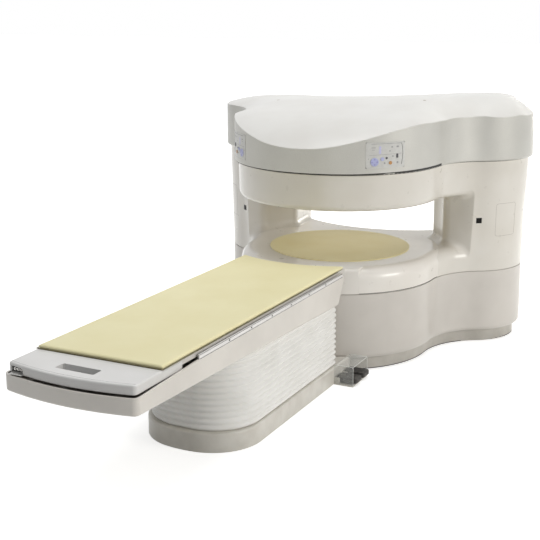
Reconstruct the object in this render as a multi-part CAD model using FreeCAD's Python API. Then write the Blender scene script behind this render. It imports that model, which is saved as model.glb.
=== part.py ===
import FreeCAD, Part
import math
import os

# Open magnetic resonance scanner with its patient table.
# Millimetres. +X is to the right, +Y runs from the foot of the table into the scanner, +Z is up.
# The origin is on the floor, under the axis of the two round magnet poles.

V = FreeCAD.Vector
UP = V(0, 0, 1)
ORIGIN = V(0, 0, 0)

# ---------------------------------------------------------------- driving dimensions
# plan of the scanner's covers: a round front lobe, an S-curve each side, two flanks and a rear waist
FRONT_R = 790.0            # round front lobe, about the pole axis
SCURVE_R = 512.0           # hollow curve between the front lobe and a flank
FLANK_R = 450.0            # bulging curve of a flank
FLANK_X = {"right": 1270.0, "left": 1205.0}   # reach of each flank, along its own column's X
COLUMN_TURN = {"right": 0.0, "left": 7.0}      # the left column stands turned to the front by this many degrees
CORNER_R = 280.0           # rear corner
REAR_R = 250.0             # curve from the rear into the waist
REAR_X = 705.0             # where that curve is centred
WAIST_Y = 795.0            # distance of the waist from the pole axis

# heights of the covers
KICK_TOP = 95.0
SKIRT_TOP = 597.0
BASE_BOTTOM = 603.0
BASE_TOP = 796.0
PATIENT_GAP = 430.0
DRUM_TOP = 1497.0
BAND_BOTTOM = 1503.0
RIM_REAR = 1860.0          # top rim of the band at the sides and rear
RIM_FALL = 171.0           # how far the rim falls towards the front
RIM_FLAT_Y = -260.0        # the rim is level behind this line
CROWN = 106.0              # how far the top swells above its rim at the rear
CROWN_FRONT = 30.0         # the same at the front
CROWN_LEAN = 0.045         # the swell is this much higher for each step to the right
CROWN_RUN = 430.0          # the swell is complete this far in from the rim
CROWN_FRONT_Y = -520.0     # the swell of the front turns into that of the rear from here...
CROWN_REAR_Y = 300.0       # ...to here

WALL = 5.0                 # moulded covers
SEAM = 0.6                 # open seam between neighbouring covers
SEAT = 0.3                 # running or resting gap between neighbours
KICK_INSET = 50.0
SKIRT_EDGE_R = 38.0
SHOULDER_R = 90.0
DRUM_EDGE_R = 45.0
DOCK_STEP = 10.0           # the notch for the table is this much wider than the table
DOCK_DEPTH = 230.0         # how far the notch runs in from the front lobe
DOCK_EDGE_R = 25.0
COLUMN_FLARE = 25.0        # the columns lean out this far by the top of the drum
BAND_PROUD = 56.0          # the band stands this far outside the base's plan
BAND_LIP_R = 14.0
REVEAL = 10.0              # depth of the shadow gaps
SEAM_DEG = 7.5             # the front covers meet the side covers here, measured from a column's X

# columns
COLUMN_WALL_STEP = 52.0    # the inner wall of a column stands this far outside the front lobe
COLUMN_FRONT_Y = {"right": 388.0, "left": 330.0}   # front wall of each column, set back from the drum
WINDOW_DEG = {"right": 33.2, "left": 41.6}     # bearing of a laser window about the centre of the hollow curve
WINDOW_Z = {"right": 1019.0, "left": 974.0}    # height of its middle
COLUMN_TURN_DEG = 47.0     # where the inner wall turns to the rear
COLUMN_REAR_X = 632.0
COLUMN_NOSE_R = 100.0
COLUMN_CORNER_R = {"right": 12.0, "left": 0.0}   # the left column's front corner stays sharp
COLUMN_COVE_R = 60.0       # hollow curve where a column runs into the base and the drum
FOOT_SEAM_STEP = 5.0       # the column cover ends on the base this far outside the front lobe
FOOT_REAR_X = 470.0

# magnet
POLE_PAD_R = 562.0
POLE_PAD_T = 6.0
COIL_R = 500.0
RF_T = 38.0
GRADIENT_T = 42.0
POLE_STEP = 18.0           # the pole pieces stand this far behind the notch
POLE_T = 130.0
POLE_SHIM_GAP = 6.0        # between the gradient coil and the ring round it
POLE_SHIM_H = 22.0
MAGNET_R = 590.0
MAGNET_T = 110.0
YOKE_T = 170.0
YOKE_R = 600.0
POST_X = 930.0
POST_Y = 740.0
POST_R = 165.0
POST_BOLTS = 6
BOLT_R = 18.0
BOLT_CIRCLE_R = 115.0
BOLT_HEAD_T = 22.0
BOLT_SINK = 60.0
BOLT_HOLE_GAP = 1.5
FOOT_L = 230.0
FOOT_W = 130.0
FOOT_T = 20.0
FOOT_STEM_R = 38.0
ANCHOR_X = 420.0
ANCHOR_Y = 420.0
ANCHOR_R = 11.0
FOOT_STEM_STEP = 110.0     # the stem stands this far inboard of its anchor hole

# control panels on the band
PANEL_DEG = 46.0           # bearing of each panel from the front
PANEL_HALF_DEG = 10.5
PANEL_LOW = 1556.0
PANEL_HIGH = 1744.0
PANEL_T = 11.0
PANEL_PROUD = 2.0
KEY_PROUD = 4.0
KEY_GAP = 0.4
KEY_TRAVEL = 2.0
KEY_FLANGE = 2.0
KEY_FLANGE_T = 2.0
# name: bearing from the panel's middle in degrees, height, width, tall
KEYS = {
    "arrow_pad": (6.0, 1601.0, 62.0, 62.0),
    "blue_key": (1.9, 1621.0, 28.0, 28.0),
    "amber_key": (-2.4, 1592.0, 26.0, 26.0),
    "stop_key": (-6.2, 1641.0, 15.0, 30.0),
}
PAD_CROSS = 22.0
PAD_GROOVE = 1.6
WINDOW_W = 46.0
WINDOW_H = 44.0
WINDOW_T = 8.0
WINDOW_REACH = 40.0        # depth of the cut that takes the pane, from outside

# patient table
TABLE_HALF_W = 412.0
MAT_T = 21.0
BOARD_T = 30.0
MAT_TOP = 861.0
MAT_FOOT_Y = -3292.0
MAT_HEAD_STEP = 165.0      # the head end is hollow about the pole axis, this far outside the front lobe
BOARD_HEAD_STEP = 10.0     # the board runs on past the mattress by this much
BOARD_SIDE_STEP = 4.0
CAP_REAR_Y = -3085.0
CAP_FRONT_Y = -3582.0
CAP_BOW_R = 1600.0
CAP_BOTTOM = 786.0
CAP_CORNER_R = 28.0
CAP_EDGE_R = 12.0
CAP_UNDER_R = 5.0
SLOT_HALF_X = 125.0
SLOT_FRONT_Y = -3494.0
SLOT_REAR_Y = -3418.0
SLOT_DEPTH = 40.0
CAP_SKIN = 16.0            # thickness of the cap's top
RECESS_X0 = 290.0          # connector recess in the cap's front, at its left, open below
RECESS_X1 = 384.0
RECESS_D = 105.0
FRAME_HALF_W = 430.0
FRAME_FRONT_Y = -3605.0
FRAME_HEAD_STEP = 125.0    # head end of the frame, at its top, outside the front lobe
FRAME_HEAD_RAKE = 100.0    # the head end leans back this much at its foot
FRAME_TOP = 778.0          # rim round the foot end
FRAME_SIDE_TOP = 798.0     # the side walls rise to this height...
FRAME_RISE_Y = -2950.0     # ...by here
FRAME_FOOT_Z = 680.0       # the underside deepens from the foot end...
FRAME_HEAD_Z = 601.0       # ...to the head end
FRAME_WALL = 12.0
FRAME_FLOOR = 10.0
FRAME_CORNER_R = 40.0
FRAME_EDGE_R = 16.0
RAIL_H = 28.0
RAIL_START_Y = -2935.0
RAIL_END_Y = -935.0
GUIDE_X = 230.0
GUIDE_W = 40.0
GUIDE_TOP = 784.0
GUIDE_START_Y = -3250.0
GUIDE_END_Y = -1040.0
GROOVE_Z = 22.0            # ball grooves in the guides, this far below the top
GROOVE_H = 40.0
GROOVE_D = 8.0
RUNNER_W = 50.0
RUNNER_START_Y = -3075.0
RUNNER_END_Y = -2750.0

# table base
PLINTH_HALF_W = 392.0
PLINTH_FRONT_Y = -2468.0
PLINTH_BOW_R = 700.0
PLINTH_CORNER_R = 335.0
PLINTH_TOP = 126.0
PLINTH_HEAD_GAP = 7.0      # between the plinth and the front skirt
PLINTH_EDGE_R = 14.0
BELLOWS_STEP = 12.0        # the bellows stand this far inside the plinth at the sides
BELLOWS_FRONT_STEP = 34.0
BELLOWS_CORNER_R = 320.0
PLEATS = 13
PLEAT_DEPTH = 17.0
PLEAT_FLAT = 5.0           # width of a fold's blunt ridge
BELLOWS_HEAD_STEP = 115.0  # the bellows end this far outside the front lobe
BELLOWS_WALL = 30.0
BASE_PLATE_T = 20.0
LIFT_OVERLAP = 50.0
LIFT_Y = (-2050.0, -1300.0)
LIFT_HEAD_T = 30.0
LIFT_TUBE_W = 190.0
LIFT_TUBE_WALL = 8.0
LIFT_HEAD_HALF_W = 250.0
LIFT_HEAD_OVERHANG = 160.0
TABLE_ANCHOR_X = 300.0
TABLE_ANCHOR_Y = (-2230.0, -1030.0)
MOTOR_R = 60.0
MOTOR_L = 230.0
DRIVE_MOTOR_R = 36.0
DRIVE_MOTOR_L = 150.0
PULLEY_R = 26.0
BELT_T = 3.0
BELT_W = 30.0
BELT_FOOT_Y = -3180.0
BELT_HEAD_Y = -1130.0

# foot pedals beside the plinth
PEDAL_X = 392.3            # the plate starts here, against the plinth
PEDAL_PLATE_L = 150.0
PEDAL_Y0 = -985.0
PEDAL_Y1 = -712.0
PEDAL_PLATE_T = 10.0
PEDAL_HOOD_H = 150.0
PEDAL_HOOD_T = 4.0
PEDAL_W = 100.0
PEDAL_L = 148.0            # from its pin to its toe
PEDAL_HEEL = 13.0          # from its pin to its heel
PEDAL_LOW = 22.0
PEDAL_HIGH = 60.0
PEDAL_EDGE = 9.0           # slope along the toe and heel
PEDAL_GROOVES = 5
PEDAL_GROOVE_STEP = 16.0
PEDAL_SHARES = (0.238, 0.762)   # where the pedals' middles lie along the plate
PEDAL_PIN_R = 5.0
PEDAL_PIN_Z = 40.0
PEDAL_PIN_STEP = 26.0
PEDAL_GAP = 0.05

# ---------------------------------------------------------------- worked-out sizes
TOP_CEILING = RIM_REAR + CROWN + 2 * CROWN_RUN * CROWN_LEAN + 100
COLUMN_WALL_R = FRONT_R + COLUMN_WALL_STEP
FOOT_SEAM_R = FRONT_R + FOOT_SEAM_STEP
PLINTH_HEAD_R = FRONT_R + PLINTH_HEAD_GAP
DOCK_REAR_Y = DOCK_DEPTH - FRONT_R
POLE_R = -DOCK_REAR_Y - POLE_STEP
MAT_HEAD_R = FRONT_R + MAT_HEAD_STEP
BOARD_HEAD_R = MAT_HEAD_R - BOARD_HEAD_STEP
FRAME_HEAD_Y = -FRONT_R - FRAME_HEAD_STEP
BELLOWS_HEAD_Y = -FRONT_R - BELLOWS_HEAD_STEP
DRUM_BOTTOM = BASE_TOP + PATIENT_GAP
SIDES = ("right", "left")
FAR = 2 * max(FLANK_X.values())
SCURVE_C = V(FRONT_R + SCURVE_R, 0, 0)
FRAME_SLOPE = (FRAME_FOOT_Z - FRAME_HEAD_Z) / (FRAME_HEAD_Y - FRAME_FRONT_Y)
BOARD_TOP = MAT_TOP - MAT_T
BOARD_BOTTOM = BOARD_TOP - BOARD_T
LIFT_TOP = FRAME_HEAD_Z - LIFT_HEAD_T
LIFT_STAGE = (LIFT_TOP - BASE_PLATE_T + 2 * LIFT_OVERLAP) / 3


# ---------------------------------------------------------------- helpers
def polar(radius, bearing_deg):
    """A point in plan, by its bearing from the front (-Y), positive towards +X."""
    a = math.radians(bearing_deg)
    return V(radius * math.sin(a), -radius * math.cos(a), 0)


def box(x0, x1, y0, y1, z0, z1):
    return Part.makeBox(x1 - x0, y1 - y0, z1 - z0, V(x0, y0, z0))


def tube_z(radius, x, y, z0, z1):
    return Part.makeCylinder(radius, z1 - z0, V(x, y, z0))


def mirrored(shape):
    return shape.mirror(ORIGIN, V(1, 0, 0))


def arc_about(centre, start, end):
    """The shorter arc about a centre."""
    r = (start - centre).Length
    mid = (start - centre) + (end - centre)
    return Part.Arc(start, centre + mid.normalize() * r, end).toShape()


def touch(centre_a, radius_a, centre_b, radius_b):
    """Where two circles that touch from outside meet."""
    return centre_a + (centre_b - centre_a) * (radius_a / (radius_a + radius_b))


def place(side, shape):
    """Puts a shape drawn for the right column on its side: the left one is mirrored, then turned."""
    if side == "right":
        return shape
    return turned(mirrored(shape), COLUMN_TURN[side])


def unplace(side, shape):
    """The reverse of place."""
    if side == "right":
        return shape
    return mirrored(turned(shape, -COLUMN_TURN[side]))


def turned(shape, deg):
    shape = shape.copy()
    shape.rotate(ORIGIN, UP, deg)
    return shape


def flank_centres(side):
    """Centres of a flank's bulge, of its rear corner and of its curve into the waist."""
    flank = V(FLANK_X[side] - FLANK_R, 0, 0)
    flank.y = math.sqrt((SCURVE_R + FLANK_R) ** 2 - (SCURVE_C.x - flank.x) ** 2)
    corner = V(FLANK_X[side] - CORNER_R, flank.y, 0)
    rear = V(REAR_X * FLANK_X[side] / FLANK_X["right"], corner.y + CORNER_R - REAR_R, 0)
    return flank, corner, rear


def waist_circle():
    """Centre and radius of the waist, which touches both rear curves."""
    ends = [Part.Vertex(flank_centres(side)[2]) for side in SIDES]
    right, left = [place(side, v).Point for side, v in zip(SIDES, ends)]
    facing = math.radians(90 + (COLUMN_TURN["left"] - COLUMN_TURN["right"]) / 2)
    axis = V(math.cos(facing), math.sin(facing), 0)
    low, high = REAR_R, 100 * REAR_R
    for _ in range(60):
        radius = (low + high) / 2
        reach = ((axis * (WAIST_Y + radius) - right).Length + (axis * (WAIST_Y + radius) - left).Length) / 2
        if reach > radius + REAR_R:
            low = radius
        else:
            high = radius
    return axis * (WAIST_Y + radius), radius


def gantry_wire(grow, z):
    """The covers' plan, set out by grow, at a height."""
    front_r, scurve_r = FRONT_R + grow, SCURVE_R - grow
    flank_r, corner_r, rear_r = FLANK_R + grow, CORNER_R + grow, REAR_R + grow
    waist_c, waist_r = waist_circle()
    edges, starts, ends = [], [], []
    for side in SIDES:
        flank_c, corner_c, rear_c = flank_centres(side)
        p0 = V(front_r, 0, 0)
        p1 = touch(SCURVE_C, scurve_r, flank_c, flank_r)
        p2 = V(flank_c.x + flank_r, flank_c.y, 0)
        p3 = V(corner_c.x, corner_c.y + corner_r, 0)
        p4 = V(rear_c.x, rear_c.y + rear_r, 0)
        waist_here = unplace(side, Part.Vertex(waist_c)).Point
        p5 = rear_c + (waist_here - rear_c).normalize() * rear_r
        for edge in (arc_about(SCURVE_C, p0, p1), arc_about(flank_c, p1, p2), arc_about(corner_c, p2, p3),
                     Part.makeLine(p3, p4), arc_about(rear_c, p4, p5)):
            edges.append(place(side, edge))
        starts.append(place(side, Part.Vertex(p0)).Point)
        ends.append(place(side, Part.Vertex(p5)).Point)
    front = Part.Arc(starts[1], V(0, -front_r, 0), starts[0]).toShape()
    middle = waist_c - V(waist_c).normalize() * (waist_r - grow)
    waist = Part.Arc(ends[0], middle, ends[1]).toShape()
    wire = Part.Wire(Part.__sortEdges__(edges + [front, waist]))
    wire.translate(V(0, 0, z))
    return wire


def gantry_block(grow, z0, z1):
    return Part.Face(gantry_wire(grow, z0)).extrude(V(0, 0, z1 - z0))


def flare_at(z):
    """How far the leaning column covers stand out at a height."""
    return COLUMN_FLARE * (z - BASE_BOTTOM) / (DRUM_TOP - BASE_BOTTOM)


def leaning_block(grow):
    """Everything inside the leaning covers, from the shadow gap to the drum's top, set out by grow."""
    z0, z1 = BASE_BOTTOM - abs(grow), DRUM_TOP + abs(grow)
    low = gantry_wire(grow + flare_at(z0), z0)
    high = gantry_wire(grow + flare_at(z1), z1)
    return Part.makeLoft([low, high], True, True)


def slab(z0, z1):
    return box(-FAR, FAR, -FAR, FAR, z0, z1)


def split_at(shell, bearings, gap):
    """Cuts a shell open along seams at bearings from +X, and sorts its pieces by their own bearing."""
    for deg in bearings:
        shell = shell.cut(turned(box(0, FAR, -gap / 2, gap / 2, -1, TOP_CEILING), deg))
    return sorted(shell.Solids, key=lambda piece: bearing_of(piece.CenterOfMass))


def bearing_of(point):
    """Bearing from the left of the front round to the right and the rear, 0 to 360."""
    return (math.degrees(math.atan2(point.y, point.x)) + 135) % 360


def seam_bearings():
    return SEAM_DEG, 180 - SEAM_DEG + COLUMN_TURN["left"]


def rim_edges(shape, z):
    """Edges that lie wholly at a height."""
    found = []
    for e in shape.Edges:
        b = e.BoundBox
        if abs(b.ZMin - z) < 0.01 and abs(b.ZMax - z) < 0.01:
            found.append(e)
    return found


def upright_edges(shape, low):
    return [e for e in shape.Edges if e.BoundBox.ZLength > low and e.BoundBox.XLength < 0.01
            and e.BoundBox.YLength < 0.01]


def ring(outer_grow, inner_grow, z0, z1):
    return gantry_block(outer_grow, z0, z1).cut(gantry_block(inner_grow, z0 - 1, z1 + 1))


def polygon(points, z0, z1):
    wire = Part.makePolygon([V(p[0], p[1], z0) for p in points] + [V(points[0][0], points[0][1], z0)])
    return Part.Face(wire).extrude(V(0, 0, z1 - z0))


def fuse_all(shapes):
    return shapes[0].multiFuse(shapes[1:]).removeSplitter()


# ---------------------------------------------------------------- column plans
def column_plan(side, gap, z0, z1):
    """A column's plan, drawn as the right one, which runs on past the covers. Gap shrinks its patient side."""
    wall_r = COLUMN_WALL_R + gap
    front_y = COLUMN_FRONT_Y[side] + gap
    turn = polar(wall_r, 90 + COLUMN_TURN_DEG)
    nose = V(math.sqrt(wall_r ** 2 - front_y ** 2), front_y, 0)
    rear = V(COLUMN_REAR_X + gap, FAR, 0)
    edges = [
        arc_about(ORIGIN, turn, nose),
        Part.makeLine(nose, V(FAR, front_y, 0)),
        Part.makeLine(V(FAR, front_y, 0), V(FAR, FAR, 0)),
        Part.makeLine(V(FAR, FAR, 0), rear),
        Part.makeLine(rear, turn),
    ]
    face = Part.Face(Part.Wire(edges))
    face.translate(V(0, 0, z0))
    block = face.extrude(V(0, 0, z1 - z0))
    corners = [e for e in upright_edges(block, z1 - z0 - 1)
               if min((V(e.Vertexes[0].X, e.Vertexes[0].Y, 0) - p).Length for p in (nose, turn)) < 1]
    return block.makeFillet(COLUMN_NOSE_R - gap, corners)


def foot_plan(gap, z0, z1):
    """The right column cover's plan with its foot, shrunk by gap where it meets the base's cover."""
    seam_r = FOOT_SEAM_R + gap
    turn = polar(seam_r, 90 + COLUMN_TURN_DEG)
    start = V(math.sqrt(seam_r ** 2 - gap ** 2), gap, 0)
    out = V(FAR, gap, 0)
    start, out = [turned(Part.Vertex(p), SEAM_DEG).Point for p in (start, out)]
    rear = V(FOOT_REAR_X + gap, FAR, 0)
    edges = [
        arc_about(ORIGIN, turn, start),
        Part.makeLine(start, out),
        Part.makeLine(out, V(FAR, FAR, 0)),
        Part.makeLine(V(FAR, FAR, 0), rear),
        Part.makeLine(rear, turn),
    ]
    face = Part.Face(Part.Wire(edges))
    face.translate(V(0, 0, z0))
    return face.extrude(V(0, 0, z1 - z0))


def feet_plan(gap, z0, z1):
    foot = foot_plan(gap, z0, z1)
    return place("right", foot).fuse(place("left", foot))


# ---------------------------------------------------------------- scanner covers
def base_block(lean, inset):
    """The base's rounded top, or the hollow inside it."""
    base = lean.common(slab(0, BASE_TOP - inset))
    return base.makeFillet(SHOULDER_R - inset, rim_edges(base, BASE_TOP - inset))


def drum_block(lean, inset):
    """The drum's rounded underside, or the hollow inside it."""
    drum = lean.common(slab(DRUM_BOTTOM + inset, TOP_CEILING))
    return drum.makeFillet(DRUM_EDGE_R - inset, rim_edges(drum, DRUM_BOTTOM + inset))


def cove_edges(body, column):
    """Edges where the base and the drum meet the patient side of a column that runs on past the covers."""
    walls = [f for f in column.Faces if f.BoundBox.ZLength > 1 and f.BoundBox.XMin < FAR - 1
             and f.BoundBox.YMin < FAR - 1]
    walls = Part.makeCompound(walls)
    low, high = column.BoundBox.ZMin, column.BoundBox.ZMax
    found = []
    for edge in body.Edges:
        span = edge.LastParameter - edge.FirstParameter
        points = [edge.valueAt(edge.FirstParameter + share * span) for share in (0.1, 0.5, 0.9)]
        if any(p.z < low + 1 or p.z > high - 1 for p in points):
            continue
        upright = edge.BoundBox.XLength < 0.01 and edge.BoundBox.YLength < 0.01
        if not upright and all(walls.distToShape(Part.Vertex(p))[0] < 0.01 for p in points):
            found.append(edge)
    return found


def column_solid(side, inset):
    """One column with its foot and head, drawn as the right one, or the hollow inside it."""
    lean = unplace(side, leaning_block(-inset))
    column = column_plan(side, inset, lean.BoundBox.ZMin, lean.BoundBox.ZMax)
    body = fuse_all([column, base_block(lean, inset), drum_block(lean, inset)])
    body = body.makeFillet(COLUMN_COVE_R + inset, cove_edges(body, column))
    body = lean.common(foot_plan(inset, 0, TOP_CEILING)).common(body)
    front_y = COLUMN_FRONT_Y[side] + inset
    corner = [e for e in body.Edges if e.BoundBox.ZLength > PATIENT_GAP / 3 and e.BoundBox.YLength < 0.01
              and abs(e.BoundBox.YMin - front_y) < 0.01 and e.BoundBox.XMin > COLUMN_WALL_R]
    if inset or not COLUMN_CORNER_R[side]:
        return body
    return body.makeFillet(COLUMN_CORNER_R[side], corner)


def column_cover(side):
    cover = column_solid(side, 0).cut(column_solid(side, WALL))
    return place(side, cover.cut(window_pocket(side, SEAT)))


def window_pocket(side, gap):
    """Room for a laser window, square to the hollow curve of its column, drawn as the right one."""
    half_w, half_h = WINDOW_W / 2 + gap, WINDOW_H / 2 + gap
    inner_y = WINDOW_T + gap - flare_at(WINDOW_Z[side])
    block = Part.makeBox(2 * half_w, WINDOW_REACH, 2 * half_h, V(-half_w, inner_y - WINDOW_REACH, -half_h))
    outward = polar(SCURVE_R, WINDOW_DEG[side])
    block = turned(block, WINDOW_DEG[side])
    block.translate(V(SCURVE_C.x - outward.x, -outward.y, WINDOW_Z[side]))
    return block


def skirts():
    outer = gantry_block(0, KICK_TOP, SKIRT_TOP)
    outer = outer.makeFillet(SKIRT_EDGE_R, rim_edges(outer, KICK_TOP))
    shell = outer.cut(gantry_block(-WALL, KICK_TOP + SKIRT_EDGE_R, SKIRT_TOP + 1))
    shell = shell.cut(gantry_block(-KICK_INSET, KICK_TOP - 1, SKIRT_TOP))
    lip = ring(-WALL + 1, -REVEAL - WALL, SKIRT_TOP - 30, BASE_BOTTOM - SEAT)
    lip = lip.cut(ring(0, -REVEAL, SKIRT_TOP, BASE_BOTTOM + 1))
    right_seam, left_seam = seam_bearings()
    rear_seam = (right_seam + left_seam) / 2
    return split_at(shell.fuse(lip), (right_seam, rear_seam, left_seam), SEAM)


def kick_plates():
    shell = ring(-KICK_INSET, -KICK_INSET - WALL, 0, KICK_TOP - SEAT)
    right_seam, left_seam = seam_bearings()
    return Part.makeCompound(split_at(shell, (right_seam, (right_seam + left_seam) / 2, left_seam), SEAM))


def dock_block(gap):
    """The notch in the front of the base's cover, as wide as the table."""
    half_w = FRAME_HALF_W + DOCK_STEP - gap
    return box(-half_w, half_w, -FRONT_R - 50, DOCK_REAR_Y - gap, BASE_BOTTOM - 20, BASE_TOP + 20)


def base_top_cover():
    foot = feet_plan(-SEAM, 0, TOP_CEILING)
    foot_in = feet_plan(-SEAM - WALL, 0, TOP_CEILING)
    cover = base_block(leaning_block(0), 0).cut(foot).cut(dock_block(-SEAM))
    hollow = base_block(leaning_block(-WALL), WALL).cut(foot_in).cut(dock_block(-WALL - SEAM))
    return cover.cut(hollow)


def dock_cover():
    block = leaning_block(0).common(dock_block(0)).common(slab(0, BASE_TOP))
    front = [e for e in rim_edges(block, BASE_TOP) if e.BoundBox.YMax < -FRAME_HALF_W]
    block = block.makeFillet(DOCK_EDGE_R, [e for e in front if e.Curve.TypeId == "Part::GeomCircle"])
    hollow = leaning_block(-WALL).common(dock_block(WALL)).common(slab(0, BASE_TOP - WALL))
    return block.cut(hollow.common(slab(0, BASE_TOP - DOCK_EDGE_R)))


def drum_cover():
    foot = feet_plan(-SEAM, 0, TOP_CEILING)
    foot_in = feet_plan(-SEAM - WALL, 0, TOP_CEILING)
    cover = drum_block(leaning_block(0), 0).cut(foot)
    hollow = drum_block(leaning_block(-WALL), WALL).cut(foot_in)
    inner = COLUMN_FLARE - REVEAL - WALL
    lip = ring(COLUMN_FLARE - REVEAL, inner, DRUM_TOP - 12, BAND_BOTTOM - SEAT)
    bridge = ring(COLUMN_FLARE - WALL + 1, inner, DRUM_TOP - 12, DRUM_TOP)
    return cover.cut(hollow).fuse([lip.cut(foot), bridge.cut(foot)])


# ---------------------------------------------------------------- the swelling top
def rim_height(y):
    """Height of the top rim, level behind and falling to the front in a parabola."""
    ahead = max(0.0, RIM_FLAT_Y - y) / (RIM_FLAT_Y + FRONT_R + BAND_PROUD)
    return RIM_REAR - RIM_FALL * ahead ** 2


def top_height(x, y, outline):
    """Height of the top: the rim, and a swell that grows in from the edge."""
    inset = min(math.hypot(x - p.x, y - p.y) for p in outline)
    if not lies_inside(x, y, outline):
        inset = -inset
    share = max(-0.2, min(1.0, inset / CROWN_RUN))
    swell = 1 - (1 - share) ** 3 if share > 0 else 3 * share
    blend = min(1.0, max(0.0, (y - CROWN_FRONT_Y) / (CROWN_REAR_Y - CROWN_FRONT_Y)))
    blend = blend * blend * (3 - 2 * blend)
    crown = CROWN_FRONT + (CROWN - CROWN_FRONT + CROWN_LEAN * x) * blend
    return rim_height(y) + crown * swell


def lies_inside(x, y, outline):
    """Whether a point lies inside a closed outline, by counting crossings."""
    inside = False
    last = outline[-1]
    for p in outline:
        if (p.y > y) != (last.y > y) and x < (last.x - p.x) * (y - p.y) / (last.y - p.y) + p.x:
            inside = not inside
        last = p
    return inside


def top_tool(drop):
    """Everything above the swelling top, lowered by drop."""
    outline = gantry_wire(BAND_PROUD, 0).discretize(240)
    half_x, low_y, high_y = 1420.0, -940.0, 1260.0
    cols, rows = 27, 21
    grid = []
    for i in range(cols):
        x = -half_x + 2 * half_x * i / (cols - 1)
        grid.append([])
        for j in range(rows):
            y = low_y + (high_y - low_y) * j / (rows - 1)
            grid[-1].append(V(x, y, top_height(x, y, outline) - drop))
    surface = Part.BSplineSurface()
    surface.interpolate(grid)
    return surface.toShape().extrude(V(0, 0, TOP_CEILING))


def band_and_top():
    """The grey band round the head, in two halves, and the swelling top that closes it."""
    block = gantry_block(BAND_PROUD, BAND_BOTTOM, TOP_CEILING)
    block = block.makeFillet(BAND_LIP_R, rim_edges(block, BAND_BOTTOM))
    above = top_tool(0)
    under = top_tool(WALL + SEAT)
    lid_under = top_tool(WALL)
    lid = gantry_block(BAND_PROUD, RIM_REAR - RIM_FALL - 60, TOP_CEILING).cut(above)
    lid = lid.common(lid_under)
    hollow = gantry_block(BAND_PROUD - WALL, BAND_BOTTOM + BAND_LIP_R, TOP_CEILING + 1)
    hole = gantry_block(-REVEAL - 4 * WALL, BAND_BOTTOM - 1, TOP_CEILING)
    band = block.cut(under).cut(hollow).cut(hole)
    front, rear = split_at(band, seam_bearings(), SEAM)
    return front, rear, lid


# ---------------------------------------------------------------- control panels
def sector(r0, r1, deg0, deg1, z0, z1):
    """A curved plate about the pole axis, between two bearings from the front."""
    low = V(0, 0, z0)
    outer = Part.Arc(polar(r1, deg0), polar(r1, (deg0 + deg1) / 2), polar(r1, deg1)).toShape()
    inner = Part.Arc(polar(r0, deg0), polar(r0, (deg0 + deg1) / 2), polar(r0, deg1)).toShape()
    sides = [Part.makeLine(polar(r0, d), polar(r1, d)) for d in (deg0, deg1)]
    face = Part.Face(Part.Wire(Part.__sortEdges__([outer, inner] + sides)))
    face.translate(low)
    return face.extrude(V(0, 0, z1 - z0))


def key_body(width, tall, depth0, depth1):
    """A key's rounded column along +Y, between two depths."""
    if width == tall:
        return Part.makeCylinder(width / 2, depth1 - depth0, V(0, depth0, 0), V(0, 1, 0))
    block = Part.makeBox(width, depth1 - depth0, tall, V(-width / 2, depth0, -tall / 2))
    edges = [e for e in block.Edges if e.BoundBox.YLength > 1 and e.BoundBox.XLength < 0.01]
    return block.makeFillet(width * 0.3, edges)


def key_place(shape, deg, z, radius):
    """Turns a shape that faces -Y to its bearing on the band, at a radius."""
    shape = shape.copy()
    shape.translate(V(0, -radius, z))
    shape.rotate(ORIGIN, UP, deg)
    return shape


def control_panel():
    """The right panel's frame and its keys. Key depths run inwards from the panel's face."""
    band_r = FRONT_R + BAND_PROUD
    face_r = band_r + PANEL_PROUD
    low, high = PANEL_DEG - PANEL_HALF_DEG, PANEL_DEG + PANEL_HALF_DEG
    plate = sector(face_r - PANEL_T, face_r, low, high, PANEL_LOW, PANEL_HIGH)
    corners = [e for e in plate.Edges if e.BoundBox.ZLength < 0.01
               and abs(e.Length - PANEL_T) < 0.01]
    plate = plate.makeFillet(16.0, corners)
    keys = {}
    for name, (turn, z, width, tall) in KEYS.items():
        deg = PANEL_DEG - turn
        hole = key_body(width + 2 * KEY_GAP, tall + 2 * KEY_GAP, -10, PANEL_T + 10)
        plate = plate.cut(key_place(hole, deg, z, face_r))
        cap = key_body(width, tall, -KEY_PROUD, PANEL_T + SEAT + KEY_FLANGE_T)
        rim = [e for e in cap.Edges if e.BoundBox.YMax < -KEY_PROUD + 0.01]
        cap = cap.makeFillet(1.5, rim)
        flange = key_body(width + 2 * KEY_FLANGE, tall + 2 * KEY_FLANGE, PANEL_T + 1.5, PANEL_T + 3.5)
        key = cap.fuse(flange)
        if name == "arrow_pad":
            for turned in range(4):
                groove = box(-1.2, 1.2, -KEY_PROUD - 1, -KEY_PROUD + PAD_GROOVE, PAD_CROSS / 2, width)
                groove.rotate(ORIGIN, V(0, 1, 0), 45 + 90 * turned)
                key = key.cut(groove)
        keys[name] = key_place(key.removeSplitter(), deg, z, face_r)
    return plate, keys


# ---------------------------------------------------------------- magnet
def yoke(z0):
    """A yoke plate: a round middle with an arm out to each post."""
    middle = tube_z(YOKE_R, 0, 0, z0, z0 + YOKE_T)
    arms = []
    reach = V(POST_X, POST_Y, 0)
    across = V(-POST_Y, POST_X, 0).normalize() * (POST_R + 30)
    for side in SIDES:
        arm = polygon([(p.x, p.y) for p in (across * -1, reach - across, reach + across, across)], z0, z0 + YOKE_T)
        arms += [place(side, arm), place(side, tube_z(POST_R + 30, POST_X, POST_Y, z0, z0 + YOKE_T))]
    return fuse_all([middle] + arms)


def bolt_places():
    """Where the bolts of the right post stand."""
    turns = [2 * math.pi * i / POST_BOLTS for i in range(POST_BOLTS)]
    return [(POST_X + BOLT_CIRCLE_R * math.cos(a), POST_Y + BOLT_CIRCLE_R * math.sin(a)) for a in turns]


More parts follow.
